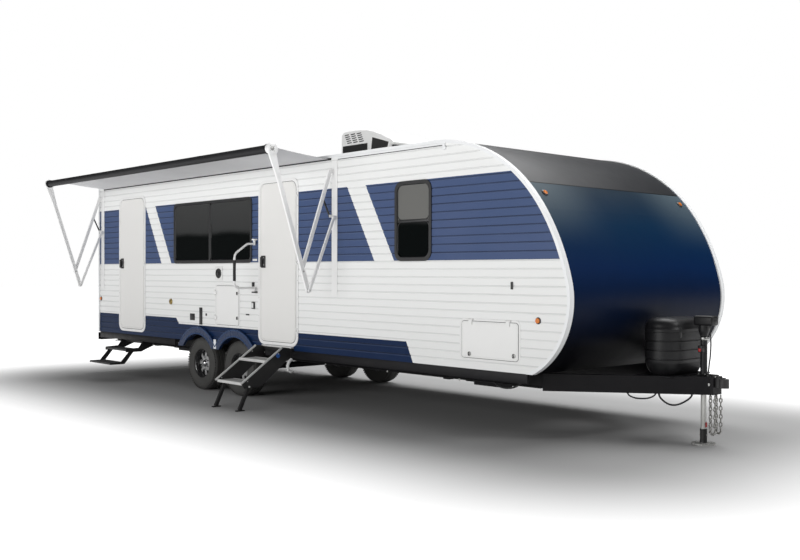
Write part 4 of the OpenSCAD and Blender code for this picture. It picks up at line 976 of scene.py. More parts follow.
roller_low, roller_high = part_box("awning_roller")
roller_mid = (roller_low + roller_high) / 2
lean = math.radians(18.1)
arm_run = Vector((0, -math.sin(lean), math.cos(lean)))      # up the outer arm, towards the roller
arm_side = Vector((0, -math.cos(lean), -math.sin(lean)))    # square to it, away from the wall
arm_places = (back + 0.113, back + 5.540)


def plate(mesh, outline, push, edge=0.0, paint=0):
    """A flat outline of points, given thickness along push."""
    verts = [mesh.verts.new(point) for point in outline]
    face = mesh.faces.new(verts)
    made = bmesh.ops.extrude_face_region(mesh, geom=[face])
    moved = [v for v in made["geom"] if isinstance(v, bmesh.types.BMVert)]
    bmesh.ops.translate(mesh, vec=push, verts=moved)
    faces = list({f for v in verts + moved for f in v.link_faces})
    bmesh.ops.recalc_face_normals(mesh, faces=faces)
    for each in faces:
        each.material_index = paint
    if edge:
        edges = list({e for v in verts + moved for e in v.link_edges})
        bmesh.ops.bevel(mesh, geom=edges, offset=edge, segments=2, profile=0.5, affect="EDGES", material=-1)
    return moved


heads = bmesh.new()
for number, x in enumerate(arm_places):
    outward = -1 if number == 0 else 1
    centre = Vector((x, roller_mid.y, roller_mid.z))
    # round drum housing on the roller's end, and below it the head that tapers into the arm
    for side in (-1, 1):
        turned(heads, [(0.0, 0.0002), (0.0, 0.034), (0.004, 0.038), (0.006, 0.042), (0.009, 0.042)][::-1],
               centre + Vector((side * 0.006, 0, 0)), (side, 0, 0), 40)
    # the drum is fuller than the roll, and set inwards so that its rim is the awning's edge
    drum = [(-0.024, 0.0002), (-0.024, 0.050), (-0.018, 0.060), (-0.008, 0.065), (0.010, 0.065),
            (0.013, 0.058), (0.013, 0.0002)]
    turned(heads, drum, centre + Vector((0, 0.0148, -0.004)), (-outward, 0, 0), 44)
    taper = [(-0.044, -0.020), (-0.041, -0.090), (-0.030, -0.220), (-0.0245, -0.300), (0.0245, -0.300),
             (0.030, -0.220), (0.041, -0.090), (0.044, -0.020)]
    outline = [centre + arm_side * across + arm_run * along - Vector((0.0125, 0, 0))
               for across, along in taper]
    plate(heads, outline, (0.025, 0, 0), 0.004)
    # motor cover with its screws on the near face
    rod(heads, centre + Vector((outward * 0.022, 0, 0)), centre + Vector((outward * 0.027, 0, 0)), 0.022, 28,
        edge=0.002, paint=1)
    for i in range(4):
        angle = math.tau * (i + 0.5) / 4
        spot = centre + Vector((outward * 0.020, math.cos(angle) * 0.034, math.sin(angle) * 0.034))
        rod(heads, spot, spot + Vector((outward * 0.006, 0, 0)), 0.004, 8, paint=1)
settle("awning_heads", heads, [arm_coat, zinc], "outer_arms")

# the edges of the extrusions' shallow grooves, and the pin heads at elbow and tail
trim = bmesh.new()
elbow = Vector((0, wall_face - 0.41335, ground + 1.49282))
for x in arm_places:
    start = Vector((x, elbow.y, elbow.z))
    top = Vector((x, roller_mid.y, roller_mid.z)) - arm_run * 0.27
    tail = start - arm_run * 0.19
    for side in (-1, 1):
        for edge_side in (-1, 1):
            shift = Vector((side * 0.0105, 0, 0)) + arm_side * (edge_side * 0.0180)
            tube(trim, [tail + shift, top + shift], 0.0022, 6)
    for spot in (start, start - arm_run * 0.196):
        for side in (1, -1):
            rod(trim, spot + Vector((side * 0.0100, 0, 0)), spot + Vector((side * 0.0135, 0, 0)), 0.010, 20,
                edge=0.001, paint=1)
settle("outer_arm_beads", trim, [arm_coat, zinc], "outer_arms")

# ---- Awning roller and cloth ----
# Vinyl-coated polyester, charcoal above and light grey below, sewn from four widths.
# It is wound on an aluminium tube at its outer edge and slid into the wall rail.

roll = Finish("rolled_cloth", (0.016, 0.018, 0.021), 0.55, gleam=0.15)
end_cap = 1 - roll.between(roll.x, arm_places[0] + 0.062, arm_places[1] - 0.062)
end_drum = 1 - roll.between(roll.x, arm_places[0] + 0.030, arm_places[1] - 0.030)
winding = roll.noise(3.0, 4.0, stretch=(0.4, 1.0, 1.0))
cloth_tone = roll.mix(winding, (0.010, 0.010, 0.011), (0.026, 0.026, 0.028))
capped = roll.mix(end_cap, cloth_tone, (0.006, 0.006, 0.007))
roll.set("Base Color", roll.mix(end_drum, capped, (0.80, 0.80, 0.80)))
roll.set("Roughness", winding * 0.2 + 0.42 - end_cap * 0.1)
roll.bump(winding * 1.0 + abs((roll.x * 260.0).sine()) * 0.05, 0.003)
roll.dress("awning_roller")

top_cloth = Finish("canopy_charcoal", (0.035, 0.038, 0.045), 0.62)
under_cloth = Finish("canopy_light_grey", (0.34, 0.345, 0.355), 0.60)
for cloth, light, dark in ((top_cloth, (0.048, 0.052, 0.060), (0.026, 0.029, 0.034)),
                           (under_cloth, (0.70, 0.70, 0.71), (0.54, 0.54, 0.55))):
    threads = (cloth.x * 2600.0).sine() * (cloth.y * 2600.0).sine()
    soil = cloth.noise(1.5, 5.0)
    cloth.set("Base Color", cloth.mix(soil, light, dark))
    cloth.set("Roughness", soil * 0.15 + 0.52)
    cloth.bump(threads * 0.12 + cloth.noise(5.0, 3.0, stretch=(0.4, 2.0, 1.0)) * 1.0, 0.002)

canopy_low, canopy_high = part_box("awning_canopy")
canopy = bmesh.new()
across, along = 22, 84
span = Vector((0, roller_mid.y - canopy_high.y, 0))
wide = canopy_high.x - canopy_low.x
start_z, end_z = ground + 2.686, roller_high.z - 0.0080
bmesh.ops.create_grid(canopy, x_segments=along, y_segments=across, size=0.5)
for vert in canopy.verts:
    u, v = vert.co.x + 0.5, vert.co.y + 0.5
    # v runs from the wall rail to the roller; the cloth sags a little and pulls in creases
    edge_pull = 1.0 - 4.0 * (u - 0.5) ** 2
    sag = 0.020 * math.sin(math.pi * v) * (0.45 + 0.55 * edge_pull)
    crease = 0.0020 * math.sin(u * 61.0 + v * 2.5) * math.sin(math.pi * v) * (1 - edge_pull * 0.5)
    seam_rise = 0.0010 * max(math.exp(-((u - s) * wide / 0.012) ** 2) for s in (0.25, 0.5, 0.75))
    vert.co = Vector((canopy_low.x + wide * u, canopy_high.y + span.y * v,
                      start_z + (end_z - start_z) * v - sag + crease + seam_rise))
bmesh.ops.recalc_face_normals(canopy, faces=canopy.faces)
if sum(face.normal.z for face in canopy.faces) < 0:
    bmesh.ops.reverse_faces(canopy, faces=canopy.faces)
cloth_edges = [e for e in canopy.edges if e.is_boundary]
lower = bmesh.ops.duplicate(canopy, geom=canopy.verts[:] + canopy.edges[:] + canopy.faces[:])
lower_faces = [g for g in lower["geom"] if isinstance(g, bmesh.types.BMFace)]
lower_verts = [g for g in lower["geom"] if isinstance(g, bmesh.types.BMVert)]
bmesh.ops.translate(canopy, vec=(0, 0, -0.0016), verts=lower_verts)
bmesh.ops.reverse_faces(canopy, faces=lower_faces)
for face in lower_faces:
    face.material_index = 1
lower_edges = [e for e in canopy.edges if e.is_boundary and e not in set(cloth_edges)]
bmesh.ops.bridge_loops(canopy, edges=cloth_edges + lower_edges)
awning_cloth = settle("awning_cloth", canopy, [top_cloth, under_cloth], "trailer",
                      ["awning_canopy"])
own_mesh(awning_cloth)

# ---- Grab handle ----
# A fold-out handle by the front door: bent white tube with a black foam grip,
# swinging on an upright rod between two wall brackets.

handle_white = Finish("handle_white", (0.78, 0.78, 0.78), 0.32, coat=0.2)
handle_white.worn((0.79, 0.79, 0.79), (0.68, 0.68, 0.675), 20.0, (0.26, 0.4))
foam = Finish("grip_foam", (0.016, 0.016, 0.017), 0.85)
foam.set("Base Color", foam.mix(foam.noise(60.0, 4.0), (0.013, 0.013, 0.014), (0.03, 0.03, 0.03)))
foam.bump(foam.noise(900.0, 2.0), 0.0008)
bracket_coat = Finish("bracket_coat", (0.78, 0.78, 0.78), 0.35)
white_part = bracket_coat.z < ground + 1.56
bracket_coat.set("Base Color", bracket_coat.mix(white_part, (0.78, 0.78, 0.775), grey(0.014)))
bracket_coat.set("Roughness", bracket_coat.noise(60.0, 3.0) * 0.2 + 0.3)
bracket_coat.dress("grab_brackets")
handle_low, handle_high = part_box("grab_handle")
rod_x = (handle_low.x + handle_high.x) / 2
rod_y = wall_face - 0.028
handle = bmesh.new()
reach_y = handle_low.y + 0.0140
foot_z, head_z = handle_low.z + 0.043, handle_high.z - 0.043
for low_z, high_z in ((handle_low.z, foot_z + 0.014), (head_z - 0.014, handle_high.z)):
    tube(handle, [(rod_x, rod_y, low_z), (rod_x, rod_y, high_z)], 0.0150, 16)
# the bend from the upper stub out to the grip and back to the lower stub
bend = [(rod_y, head_z), (rod_y - 0.075, head_z), (rod_y - 0.100, head_z - 0.004),
        (rod_y - 0.122, head_z - 0.018),
        (reach_y + 0.026, head_z - 0.105), (reach_y + 0.006, head_z - 0.135), (reach_y, head_z - 0.170),
        (reach_y, foot_z + 0.060), (reach_y + 0.006, foot_z + 0.030), (reach_y + 0.022, foot_z + 0.010),
        (reach_y + 0.050, foot_z), (rod_y, foot_z)]
tube(handle, [(rod_x, y, z) for y, z in bend], 0.0128, 14)
rod(handle, (rod_x, reach_y, foot_z + 0.080), (rod_x, reach_y, head_z - 0.190), 0.0170, 20,
    edge=0.003, paint=1)
settle("fold_out_handle", handle, [handle_white, foam], "handle", ["grab_handle"])


# ---- Entry stairs ----
# Fold-down stairs under the front door: two black side plates edged with aluminium
# angle, two ribbed treads with a light nose, and legs with flat swivel feet.

step_black = Finish("step_black", (0.012, 0.012, 0.013), 0.40)
step_black.worn((0.010, 0.010, 0.011), (0.024, 0.023, 0.023), 9.0, (0.32, 0.50), (500.0, 0.0003))
step_black.dress("stair_frame", "rear_step")
bright_angle = Finish("aluminium_angle", (0.70, 0.70, 0.69), 0.36, metallic=0.15)
bright_angle.worn((0.74, 0.74, 0.73), (0.58, 0.58, 0.57), 30.0, (0.30, 0.45), (800.0, 0.0001))
tread_grey = Finish("tread_aluminium", (0.72, 0.72, 0.71), 0.42, metallic=0.1)
tread_grey.worn((0.76, 0.76, 0.75), (0.60, 0.60, 0.59), 25.0, (0.36, 0.55), (800.0, 0.0002))
tread_dark = Finish("tread_grip_tape", (0.030, 0.030, 0.032), 0.85)
tread_dark.worn((0.026, 0.026, 0.028), (0.050, 0.050, 0.050), 30.0, (0.8, 0.95), (1200.0, 0.0008))

treads = bmesh.new()
tread_low, tread_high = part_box("stair_treads")
tread_depth, tread_thick = 0.225, 0.028
for reach, height in ((0.150, 0.525), (0.430, 0.300)):
    inner = wall_face - reach
    outer = inner - tread_depth
    top = ground + height
    foot_z = top - tread_thick
    # the plate, its light nose and its back edge, then the ribs
    block(treads, (tread_low.x, outer, foot_z), (tread_high.x, inner, top - 0.004), 0.003)
    block(treads, (tread_low.x, outer, foot_z), (tread_high.x, outer + 0.030, top), 0.004)
    block(treads, (tread_low.x + 0.004, inner - 0.020, top - 0.012),
          (tread_high.x - 0.004, inner, top), 0.003)
    for i in range(11):
        y = inner - 0.030 - i * 0.0155
        block(treads, (tread_low.x + 0.010, y - 0.010, top - 0.006), (tread_high.x - 0.010, y, top - 0.0005),
              0.0015, 1, 1)
rib_grey = Finish("tread_ribs", grey(0.26), 0.6)
rib_grey.worn((0.30, 0.30, 0.295), (0.20, 0.20, 0.195), 25.0, (0.5, 0.7), (900.0, 0.0004))
settle("ribbed_treads", treads, [tread_grey, rib_grey], replaces=["stair_treads"])

edging = bmesh.new()
for x in (tread_low.x - 0.0083, tread_high.x + 0.0003):
    top_end = Vector((x, wall_face - 0.150, ground + 0.660))
    foot_end = Vector((x, wall_face - 0.680, ground + 0.300))
    slope = (foot_end - top_end).normalized()
    rise = Vector((0, slope.z, -slope.y))
    rise = rise if rise.z > 0 else -rise
    under, over = rise * 0.018, rise * 0.002
    outline = [top_end - under, foot_end - under, foot_end + over, top_end + over]
    plate(edging, [p - Vector((0.0016, 0, 0)) for p in outline], (0.0116, 0, 0), 0.0012)
    # rivets and the pivot bolts of the legs
    for share in (0.12, 0.88):
        spot = top_end.lerp(foot_end, share) - rise * 0.034
        rod(edging, spot + Vector((-0.003, 0, 0)), spot + Vector((0.011, 0, 0)), 0.006, 10)
    pivot = Vector((x, wall_face - 0.575, ground + 0.256))
    rod(edging, pivot + Vector((-0.006, 0, 0)), pivot + Vector((0.014, 0, 0)), 0.011, 6)
settle("stair_edging", edging, bright_angle)

# the sill plate under the door, the white release hook by the side plate and a blank badge
extras = bmesh.new()
block(extras, (tread_low.x - 0.03, wall_face - 0.046, ground + 0.640),
      (tread_high.x + 0.03, wall_face - 0.008, ground + 0.656), 0.003)
hook_x = tread_high.x + 0.028
hook = [(0.030, 0.520), (0.062, 0.500), (0.086, 0.455), (0.080, 0.405), (0.045, 0.385), (0.020, 0.400)]
tube(extras, [(hook_x, wall_face - reach, ground + up) for reach, up in hook], 0.018, 12, 1)
badge_blue = Finish("badge_blue", (0.03, 0.12, 0.42), 0.35)
badge_blue.worn((0.03, 0.13, 0.45), (0.02, 0.09, 0.34), 40.0, (0.3, 0.4))
badge = Vector((tread_high.x + 0.0084, wall_face - 0.200, ground + 0.570))
rod(extras, badge, badge + Vector((0.0016, 0, 0)), 0.026, 28, edge=0.0004, paint=2)
settle("stair_sill", extras, [tread_grey, handle_white, badge_blue])

# serrated grip strips on the folding rear step
grips = bmesh.new()
rear_low, rear_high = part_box("rear_step")
for reach, height in ((0.030, 0.430), (0.265, 0.262)):
    for i in range(5):
        y = wall_face - reach - 0.020 - i * 0.041
        block(grips, (rear_low.x + 0.030, y - 0.024, ground + height - 0.002),
              (rear_high.x - 0.030, y, ground + height + 0.0025), 0.0015, 1)
settle("rear_step_grips", grips, tread_dark)

# ---- Roof gutters ----
# A white J-shaped rail drains the roof along each side, above a dark strip that is a painted
# shadow under it, and ends in a turned-out spout.

gutter = bmesh.new()
gutter_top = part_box("right_wall")[1].z - 0.023
gutter_back = abs(wall_face) + 0.0004
for side, x0, x1 in ((-1, 5.600, 7.170), (1, 0.120, 7.170)):
    # the white rail, then a narrower dark strip under it: a painted shadow
    for depth, z0, z1, paint in ((0.0115, -0.020, 0.0, 0), (0.0090, -0.026, -0.020, 1)):
        block(gutter, (back + x0, side * gutter_back, gutter_top + z0),
              (back + x1, side * (abs(wall_face) + depth), gutter_top + z1), 0.001, 1, paint)
    # flared spout: a narrow throat over a wider lip
    for z0, z1, half in ((-0.034, 0.004, 0.016), (-0.066, -0.030, 0.026)):
        block(gutter, (back + x1 - half, side * gutter_back, gutter_top + z0),
              (back + x1 + half, side * (abs(wall_face) + 0.0118), gutter_top + z1), 0.004)
settle("roof_gutters", gutter, [moulding, seal_rubber])

# ---- Air conditioner ----
# A moulded light grey shroud over the roof unit: three columns of slots over a finned
# condenser grille at the rear of each side, a wedge-shaped intake, and a scoop in front.

shroud = Finish("shroud_grey", (0.82, 0.82, 0.815), 0.45, gleam=0.3)
shroud.worn((0.84, 0.84, 0.835), (0.77, 0.77, 0.762), 3.0, (0.38, 0.55), (260.0, 0.0006))
grille_black = Finish("grille_black", (0.010, 0.010, 0.010), 0.6)
grille_black.worn((0.008, 0.008, 0.008), (0.018, 0.018, 0.018), 30.0, (0.5, 0.7))

unit_low, unit_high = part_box("air_conditioner")
unit = bmesh.new()
rear_x, front_x, base_z, top_z = unit_low.x, unit_high.x, unit_low.z, unit_high.z
side_outline = [(rear_x, base_z), (rear_x, top_z - 0.030)]
side_outline += [(rear_x + x, top_z - drop) for x, drop in (
    (0.028, 0.002), (0.14, 0.0), (0.30, 0.001), (0.44, 0.012), (0.56, 0.040), (0.70, 0.088), (0.82, 0.138))]
side_outline += [(front_x - x, top_z - drop) for x, drop in (
    (0.050, 0.172), (0.010, 0.205), (0.022, 0.222), (0.075, 0.210))]
side_outline += [(front_x - 0.095, base_z + 0.012), (front_x - 0.004, base_z + 0.008),
                 (front_x - 0.004, base_z)]
half_unit = unit_high.y
plate(unit, [(x, -half_unit, z) for x, z in side_outline], (0, 2 * half_unit, 0))
outer_edges = [e for e in unit.edges
               if all(abs(abs(v.co.y) - half_unit) < 1e-5 and v.co.z > base_z + 0.1 for v in e.verts)
               and all(v.co.x < front_x - 0.03 for v in e.verts)]
bmesh.ops.bevel(unit, geom=outer_edges, offset=0.026, segments=4, profile=0.5, affect="EDGES", material=-1)
for side in (-1, 1):
    face = side * half_unit
    inset = face - side * 0.002
    raised = (0, side * 0.0024, 0)
    # slots in three slanted columns
    for column in range(3):
        for row in range(5):
            x = rear_x + 0.060 + column * 0.110 + (4 - row) * 0.012
            z = top_z - 0.150 + row * 0.024
            slot = [(x, z), (x + 0.078, z + 0.004), (x + 0.074, z + 0.016), (x - 0.006, z + 0.012)]
            plate(unit, [(sx, inset, sz) for sx, sz in slot], raised, paint=1)
    # wedge-shaped intake under the sloping front
    wedge = [(0.385, 0.236), (0.105, 0.158), (0.125, 0.100), (0.405, 0.100)]
    plate(unit, [(front_x - x, inset, base_z + up) for x, up in wedge], raised, paint=1)
    # condenser grille with upright fins
    block(unit, (rear_x + 0.022, face - side * 0.004, top_z - 0.272),
          (rear_x + 0.470, face + side * 0.0004, top_z - 0.172), paint=1)
    for i in range(30):
        x = rear_x + 0.030 + i * 0.0148
        block(unit, (x, inset, top_z - 0.268), (x + 0.004, face + side * 0.0022, top_z - 0.176), paint=2)
# dark scoop behind the front lip, with its coil fins
block(unit, (front_x - 0.092, -half_unit + 0.03, base_z + 0.014),
      (front_x - 0.075, half_unit - 0.03, top_z - 0.212), paint=1)
for i in range(40):
    y = -half_unit + 0.045 + i * 0.0153
    block(unit, (front_x - 0.076, y, base_z + 0.016), (front_x - 0.070, y + 0.0035, top_z - 0.214), paint=2)
settle("roof_unit_shroud", unit, [shroud, grille_black, latch_black],
       replaces=["air_conditioner"])

# ---- Roof vents ----
# Two ribbed, moulded lids on screwed-down flanges, and a drain pipe under a round cap.

vents = bmesh.new()
vent_base = base_z - 0.0003
for x0 in (1.800, 5.950):
    x = back + x0
    block(vents, (x, -0.18, vent_base), (x + 0.36, 0.18, vent_base + 0.016), 0.004)
    block(vents, (x + 0.020, -0.160, vent_base + 0.014), (x + 0.340, 0.160, vent_base + 0.052), 0.012, 3)
    block(vents, (x + 0.008, -0.172, vent_base + 0.048), (x + 0.352, 0.172, vent_base + 0.0795), 0.022, 4)
    for i in range(4):
        y = -0.105 + i * 0.07
        block(vents, (x + 0.040, y - 0.006, vent_base + 0.074), (x + 0.320, y + 0.006, vent_base + 0.0802),
              0.002, 1)
    # flange screws, on a circle squeezed into the flange's square
    for i in range(12):
        angle = math.tau * i / 12
        across, along = (0.172 * max(-1, min(1, 1.3 * share)) for share in (math.cos(angle), math.sin(angle)))
        spot = Vector((x + 0.18 + across, along, vent_base + 0.014))
        rod(vents, spot, spot + Vector((0, 0, 0.006)), 0.006, 8, paint=1)
pipe = Vector((back + 3.300, 0.500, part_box("roof_vents")[0].z))
for profile in ([(0.0, 0.0395), (0.090, 0.0390), (0.092, 0.030)],
                [(0.088, 0.0395), (0.100, 0.0398), (0.118, 0.034), (0.128, 0.018), (0.1295, 0.0002)]):
    turned(vents, profile, pipe, (0, 0, 1), 28)
settle("roof_vent_lids", vents, [shroud, zinc], replaces=["roof_vents"])


# ---- Bottle cover ----
# A two-piece black polyethylene cover over the gas bottles: a grooved skirt on the
# tongue's tray and a domed lid held down over it by four clasps.

cover_black = Finish("cover_polythene", (0.008, 0.008, 0.009), 0.42, gleam=0.3)
cover_black.worn((0.006, 0.006, 0.007), (0.015, 0.015, 0.016), 4.0, (0.32, 0.48), (420.0, 0.0005))
cover_low, cover_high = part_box("propane_cover")
cover_mid = (cover_low + cover_high) / 2
cover_half = Vector(((cover_high.x - cover_low.x) / 2, (cover_high.y - cover_low.y) / 2, 0))


def cover_ring(mesh, z, inset):
    """One level of the cover's round-ended outline, drawn in by inset."""
    radius = cover_half.x - inset
    straight = cover_half.y - cover_half.x
    verts = []
    for centre_y, start in ((straight, 0), (-straight, 180)):
        for i in range(17):
            angle = math.radians(start + 180 * i / 16)
            verts.append(mesh.verts.new((cover_mid.x + radius * math.cos(angle),
                                         centre_y + radius * math.sin(angle), z)))
    edges = [mesh.edges.new((verts[i], verts[(i + 1) % len(verts)])) for i in range(len(verts))]
    return verts, edges


cover = bmesh.new()
tray_z = cover_low.z
# height and inset of each level: the foot, three grooves round the skirt, then the lid
levels = [(0.000, 0.058), (0.006, 0.052), (0.060, 0.022), (0.100, 0.006), (0.108, 0.003)]
for rib in (0.132, 0.212, 0.292):
    levels += [(rib, 0.003), (rib + 0.003, 0.013), (rib + 0.010, 0.013), (rib + 0.013, 0.003),
               (rib + 0.062, 0.003)]
levels += [(0.372, 0.004), (0.376, 0.0005), (0.400, 0.0005), (0.404, 0.004), (0.430, 0.006), (0.452, 0.012),
           (0.470, 0.024), (0.484, 0.044), (0.493, 0.070), (0.499, 0.100), (0.5015, 0.130), (0.502, 0.150)]
height = cover_high.z - tray_z
rings = [cover_ring(cover, tray_z + min(z, height), inset) for z, inset in levels]
for low_ring, high_ring in zip(rings, rings[1:]):
    bmesh.ops.bridge_loops(cover, edges=low_ring[1] + high_ring[1])
cover.faces.new(rings[0][0])
cover.faces.new(rings[-1][0])
bmesh.ops.recalc_face_normals(cover, faces=cover.faces)
# round hold-down plate on the lid, and clasps behind and in front that hold lid to skirt
turned(cover, [(-0.004, 0.030), (0.0, 0.030), (0.0, 0.0002)],
       (cover_mid.x, 0, cover_high.z - 0.001), (0, 0, 1), 24)
for y in (-0.17, 0.17):
    for x0, x1 in ((cover_low.x + 0.001, cover_low.x + 0.014), (cover_high.x - 0.014, cover_high.x - 0.001)):
        block(cover, (x0, y - 0.018, tray_z + 0.330), (x1, y + 0.018, tray_z + 0.415), 0.003)
settle("bottle_cover", cover, cover_black, replaces=["propane_cover"], smooth=40.0)

# ---- Tongue jack ----
# An electric jack: black post and plastic motor hood, a bright collar under the motor,
# and a polished leg that runs down into a black foot.

red_plastic = Finish("red_tag", (0.45, 0.015, 0.015), 0.4)
red_plastic.worn((0.48, 0.018, 0.018), (0.34, 0.010, 0.010), 40.0, (0.34, 0.5))
jack_low, jack_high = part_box("jack_post")
leg_low, leg_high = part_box("jack_leg")
jack_x = (leg_low.x + leg_high.x) / 2
jack_foot = Vector((jack_x, 0, ground))
jack = bmesh.new()
# post with its flange, and the collar under the motor
turned(jack, [(0.4425, 0.0280), (0.4425, 0.0290), (0.596, 0.0290), (0.600, 0.050), (0.608, 0.052),
              (0.610, 0.030), (0.935, 0.0290), (0.940, 0.034), (0.962, 0.036), (0.975, 0.044),
              (0.990, 0.046), (1.032, 0.046)], jack_foot, (0, 0, 1), 40)
turned(jack, [(0.905, 0.0292), (0.905, 0.034), (0.909, 0.036), (0.926, 0.036), (0.930, 0.034),
              (0.930, 0.0292)], jack_foot, (0, 0, 1), 40, 1)
# motor hood, its switch panel and the plug over the crank
block(jack, (jack_low.x + 0.001, -0.059, ground + 1.031),
      (jack_high.x - 0.001, 0.059, jack_high.z - 0.001), 0.020, 4)
block(jack, (jack_high.x - 0.030, -0.030, ground + 1.045),
      (jack_high.x - 0.0002, 0.030, ground + 1.085), 0.004)
plug_x = jack_low.x + 0.045
rod(jack, (plug_x, 0, jack_high.z - 0.004), (plug_x, 0, jack_high.z), 0.014, 20, edge=0.001)
for i in range(4):
    angle = math.tau * (i + 0.5) / 4
    spot = jack_foot + Vector((math.cos(angle) * 0.043, math.sin(angle) * 0.043, 0.607))
    rod(jack, spot, spot + Vector((0, 0, 0.008)), 0.006, 6, paint=1)
# breakaway switch with its red pull tab, strapped to the post
block(jack, (jack_x - 0.020, -0.068, ground + 0.800), (jack_x + 0.024, -0.028, ground + 0.860), 0.005)
block(jack, (jack_x - 0.010, -0.078, ground + 0.806), (jack_x + 0.012, -0.066, ground + 0.834), 0.003, 2, 2)
settle("jack_motor", jack, [cover_black, zinc, red_plastic], replaces=["jack_post"])

polished = Finish("jack_leg_steel", (0.60, 0.60, 0.585), 0.22, metallic=0.6)
sole_part = (polished.z - ground) < 0.0145
foot_part = ((polished.z - ground) < 0.122) * (1 - sole_part)
streaks = polished.noise(30.0, 3.0, stretch=(1.0, 1.0, 0.05))
bright = polished.mix(streaks, (0.62, 0.62, 0.60), (0.46, 0.46, 0.44))
polished.set("Base Color", polished.mix(foot_part, bright, grey(0.014)))
polished.set("Metallic", (1 - foot_part) * 0.5)
polished.set("Roughness", streaks * 0.2 + 0.16 + foot_part * 0.25)
polished.bump(streaks, 0.0004)
polished.dress("jack_leg")
# lip of the foot, its cross pin and a red tag on the leg
foot = bmesh.new()
turned(foot, [(0.122, 0.0245), (0.122, 0.0300), (0.128, 0.0310), (0.134, 0.0300), (0.134, 0.0245)],
       jack_foot, (0, 0, 1), 32)
rod(foot, (jack_x - 0.040, 0, ground + 0.085), (jack_x + 0.040, 0, ground + 0.085), 0.0055, 12, paint=1)
block(foot, (jack_x + 0.026, -0.014, ground + 0.150), (jack_x + 0.030, 0.010, ground + 0.192), 0.001, 1, 2)
settle("jack_foot_fittings", foot, [cover_black, zinc, red_plastic])

# ---- Coupler ----
# A cast ball coupler bolted between the tongue rails, with a sprung latch lever,
# a locking pin and the heads of its through bolts.

cast_black = Finish("coupler_enamel", (0.016, 0.016, 0.018), 0.45)
cast_black.worn((0.013, 0.013, 0.015), (0.034, 0.032, 0.031), 14.0, (0.38, 0.6), (120.0, 0.0012))
cast_black.dress("coupler")
lever = bmesh.new()
hitch_top = ground + 0.588
block(lever, (-0.120, -0.016, hitch_top - 0.002), (-0.020, 0.016, hitch_top + 0.016), 0.005)
block(lever, (-0.150, -0.011, hitch_top + 0.014), (-0.050, 0.011, hitch_top + 0.026), 0.004)
rod(lever, (-0.062, -0.030, hitch_top + 0.008), (-0.062, 0.030, hitch_top + 0.008), 0.006, 12, paint=1)
for x in (-0.128, -0.096):
    for side in (-1, 1):
        spot = Vector((x, side * 0.070, ground + 0.530))
        rod(lever, spot, spot + Vector((0, side * 0.010, 0)), 0.013, 6, paint=1)
settle("coupler_latch", lever, [cast_black, zinc])

# ---- Safety chains ----
# Two short plated chains, each hung in a loop from the underside of the tongue.

chain_steel = Finish("chain_zinc", (0.42, 0.42, 0.41), 0.38, metallic=0.85)
chain_steel.worn((0.48, 0.48, 0.46), (0.26, 0.25, 0.24), 60.0, (0.30, 0.52), (900.0, 0.0002))
chain_low, chain_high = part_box("safety_chains")
links = bmesh.new()
wire, link_long, link_wide, pitch = 0.0056, 0.046, 0.033, 0.0334


def add_link(place, run, turn):
    """One welded link along run, rolled by turn about it."""
    run = run.normalized()
    frame_turn = run.to_track_quat("Z", "Y").to_matrix().to_4x4() @ Matrix.Rotation(turn, 4, "Z")
    half_run, radius = link_long / 2 - link_wide / 2, link_wide / 2 - wire
    path = []
    for start, centre in ((0, half_run), (180, -half_run)):
        for i in range(6):
            angle = math.radians(start + 180 * i / 5)
            path.append((radius * math.cos(angle), centre + radius * math.sin(angle)))
    rings = []
    for i, (a, b) in enumerate(path):
        after, before = path[(i + 1) % len(path)], path[i - 1]
        tangent = Vector((after[0] - before[0], 0, after[1] - before[1])).normalized()
        ring = bmesh.ops.create_circle(links, segments=7, radius=wire)["verts"]
        spin = Matrix((Vector((0, 1, 0)), tangent.cross(Vector((0, 1, 0))), tangent)).transposed().to_4x4()
        local = Matrix.Translation((a, 0, b)) @ spin
        bmesh.ops.transform(links, matrix=Matrix.Translation(place) @ frame_turn @ local, verts=ring)
        rings.append(list({e for v in ring for e in v.link_edges}))
    for here, following in zip(rings, rings[1:] + rings[:1]):
        bmesh.ops.bridge_loops(links, edges=here + following)


# each chain drops, turns through a half circle and rises again
left_x, right_x = chain_low.x + 0.012, chain_high.x - 0.010
radius = (right_x - left_x) / 2
drop = chain_high.z - (chain_low.z + 0.0105) - radius
total = 2 * drop + math.pi * radius
count = int(total / pitch)
for side in (-1, 1):
    y = side * 0.048
    for i in range(count):
        s = (i + 0.5) * total / count
        if s < drop:
            spot, run = Vector((left_x, y, chain_high.z - s)), Vector((0, 0, -1))
        elif s < drop + math.pi * radius:
            angle = math.pi + (s - drop) / radius
            spot = Vector((left_x + radius + radius * math.cos(angle), y,
                           chain_high.z - drop + radius * math.sin(angle)))
            run = Vector((-math.sin(angle), 0, math.cos(angle)))
        else:
            rise = s - drop - math.pi * radius
            spot, run = Vector((right_x, y, chain_high.z - drop + rise)), Vector((0, 0, 1))
        spot.z = min(spot.z, chain_high.z - link_long / 2)
        add_link(spot, run, 0.55 + (math.pi / 2 if i % 2 else 0.0) + 0.12 * math.sin(i * 2.1 + side))
bmesh.ops.recalc_face_normals(links, faces=links.faces)
settle("chain_links", links, chain_steel, replaces=["safety_chains"], smooth=60.0)

# ---- Lights ----
# Ribbed red tail lamps in bright bezels, amber clearance lamps on black gaskets, and
# a blank plate on its bracket over the bumper.

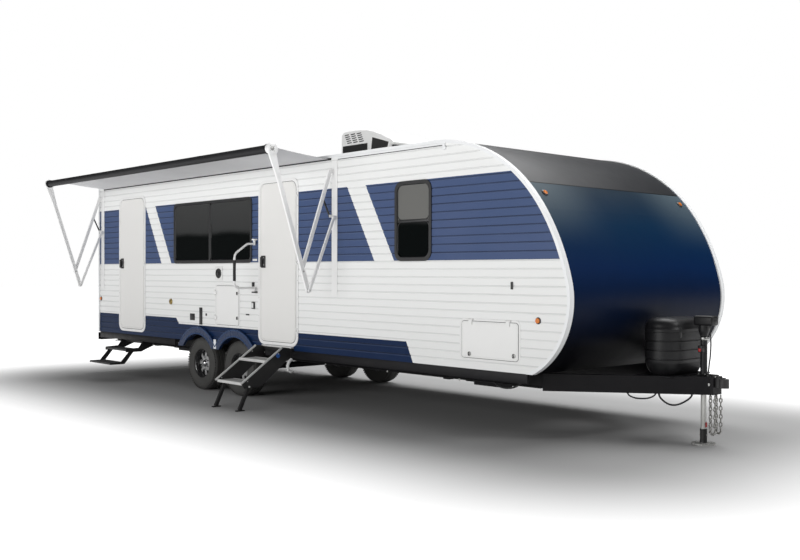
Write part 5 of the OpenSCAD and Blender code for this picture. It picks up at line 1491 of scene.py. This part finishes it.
red_lens = Finish("lens_red", (0.36, 0.008, 0.010), 0.12, coat=0.6)
red_lens.worn((0.40, 0.010, 0.012), (0.26, 0.005, 0.006), 14.0, (0.10, 0.2))
red_lens.bump(abs((red_lens.y * 420.0).sine()) + abs((red_lens.z * 420.0).sine()) * 0.6, 0.0012)
red_lens.dress("tail_lights")
amber_lens = Finish("lens_amber", (0.75, 0.20, 0.012), 0.14, coat=0.6)
amber_lens.worn((0.80, 0.23, 0.014), (0.60, 0.14, 0.008), 60.0, (0.10, 0.2))
amber_lens.bump(abs((amber_lens.z * 900.0).sine()), 0.0008)
amber_lens.dress("marker_lights")

lamps = bmesh.new()
tail_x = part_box("tail_lights")[0].x
for side in (-1, 1):
    # four bars of the bezel, then the bar across the lens
    for y0, y1, z0, z1 in ((0.950, 1.130, 0.920, 0.934), (0.950, 1.130, 1.146, 1.160),
                           (0.950, 0.964, 0.920, 1.160), (1.116, 1.130, 0.920, 1.160)):
        block(lamps, (tail_x + 0.004, side * y0, ground + z0), (back - 0.0004, side * y1, ground + z1), 0.003)
    block(lamps, (tail_x - 0.0005, side * 0.974, ground + 1.036),
          (tail_x + 0.004, side * 1.106, ground + 1.044), 0.001)
# plate bracket on the left
block(lamps, (back - 0.020, 0.560, ground + 0.930), (back - 0.0004, 0.880, ground + 0.950), 0.003, 2, 1)
block(lamps, (back - 0.012, 0.565, ground + 0.800), (back - 0.009, 0.875, ground + 0.945), 0.001, 1, 2)
settle("lamp_bezels", lamps, [chrome, latch_black, label_white])

gaskets = bmesh.new()
for side in (-1, 1):
    for x, z in ((8.303, 1.077), (0.060, 1.098)):
        spot = at(x, side * abs(wall_face), z)
        turned(gaskets, [(0.0004, 0.0218), (0.0004, 0.030), (0.004, 0.029), (0.006, 0.0224)],
               spot, (0, side, 0), 32)
# round black bases of the two lamps on the nose, square to its curve
lamp_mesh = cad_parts["marker_lights"].data
for side in (-1, 1):
    faces = [f for f in lamp_mesh.polygons if f.center.x > back + 7.5 and 0.95 < f.center.y * side < 1.15]
    lens_top = max(faces, key=lambda f: f.area if f.normal.x > 0.1 and abs(f.normal.y) < 0.1 else 0.0)
    nose_out = lens_top.normal.copy()
    rim = [lamp_mesh.vertices[i].co for f in faces for i in f.vertices]
    depth = [v.dot(nose_out) for v in rim]
    middle = sum(rim, Vector()) / len(rim)
    spot = middle - nose_out * (middle.dot(nose_out) - min(depth))
    turned(gaskets, [(0.0, 0.0222), (0.0, 0.034), (0.004, 0.034), (0.008, 0.0300), (0.010, 0.0222)],
           spot, nose_out, 32)
settle("lamp_gaskets", gaskets, latch_black)
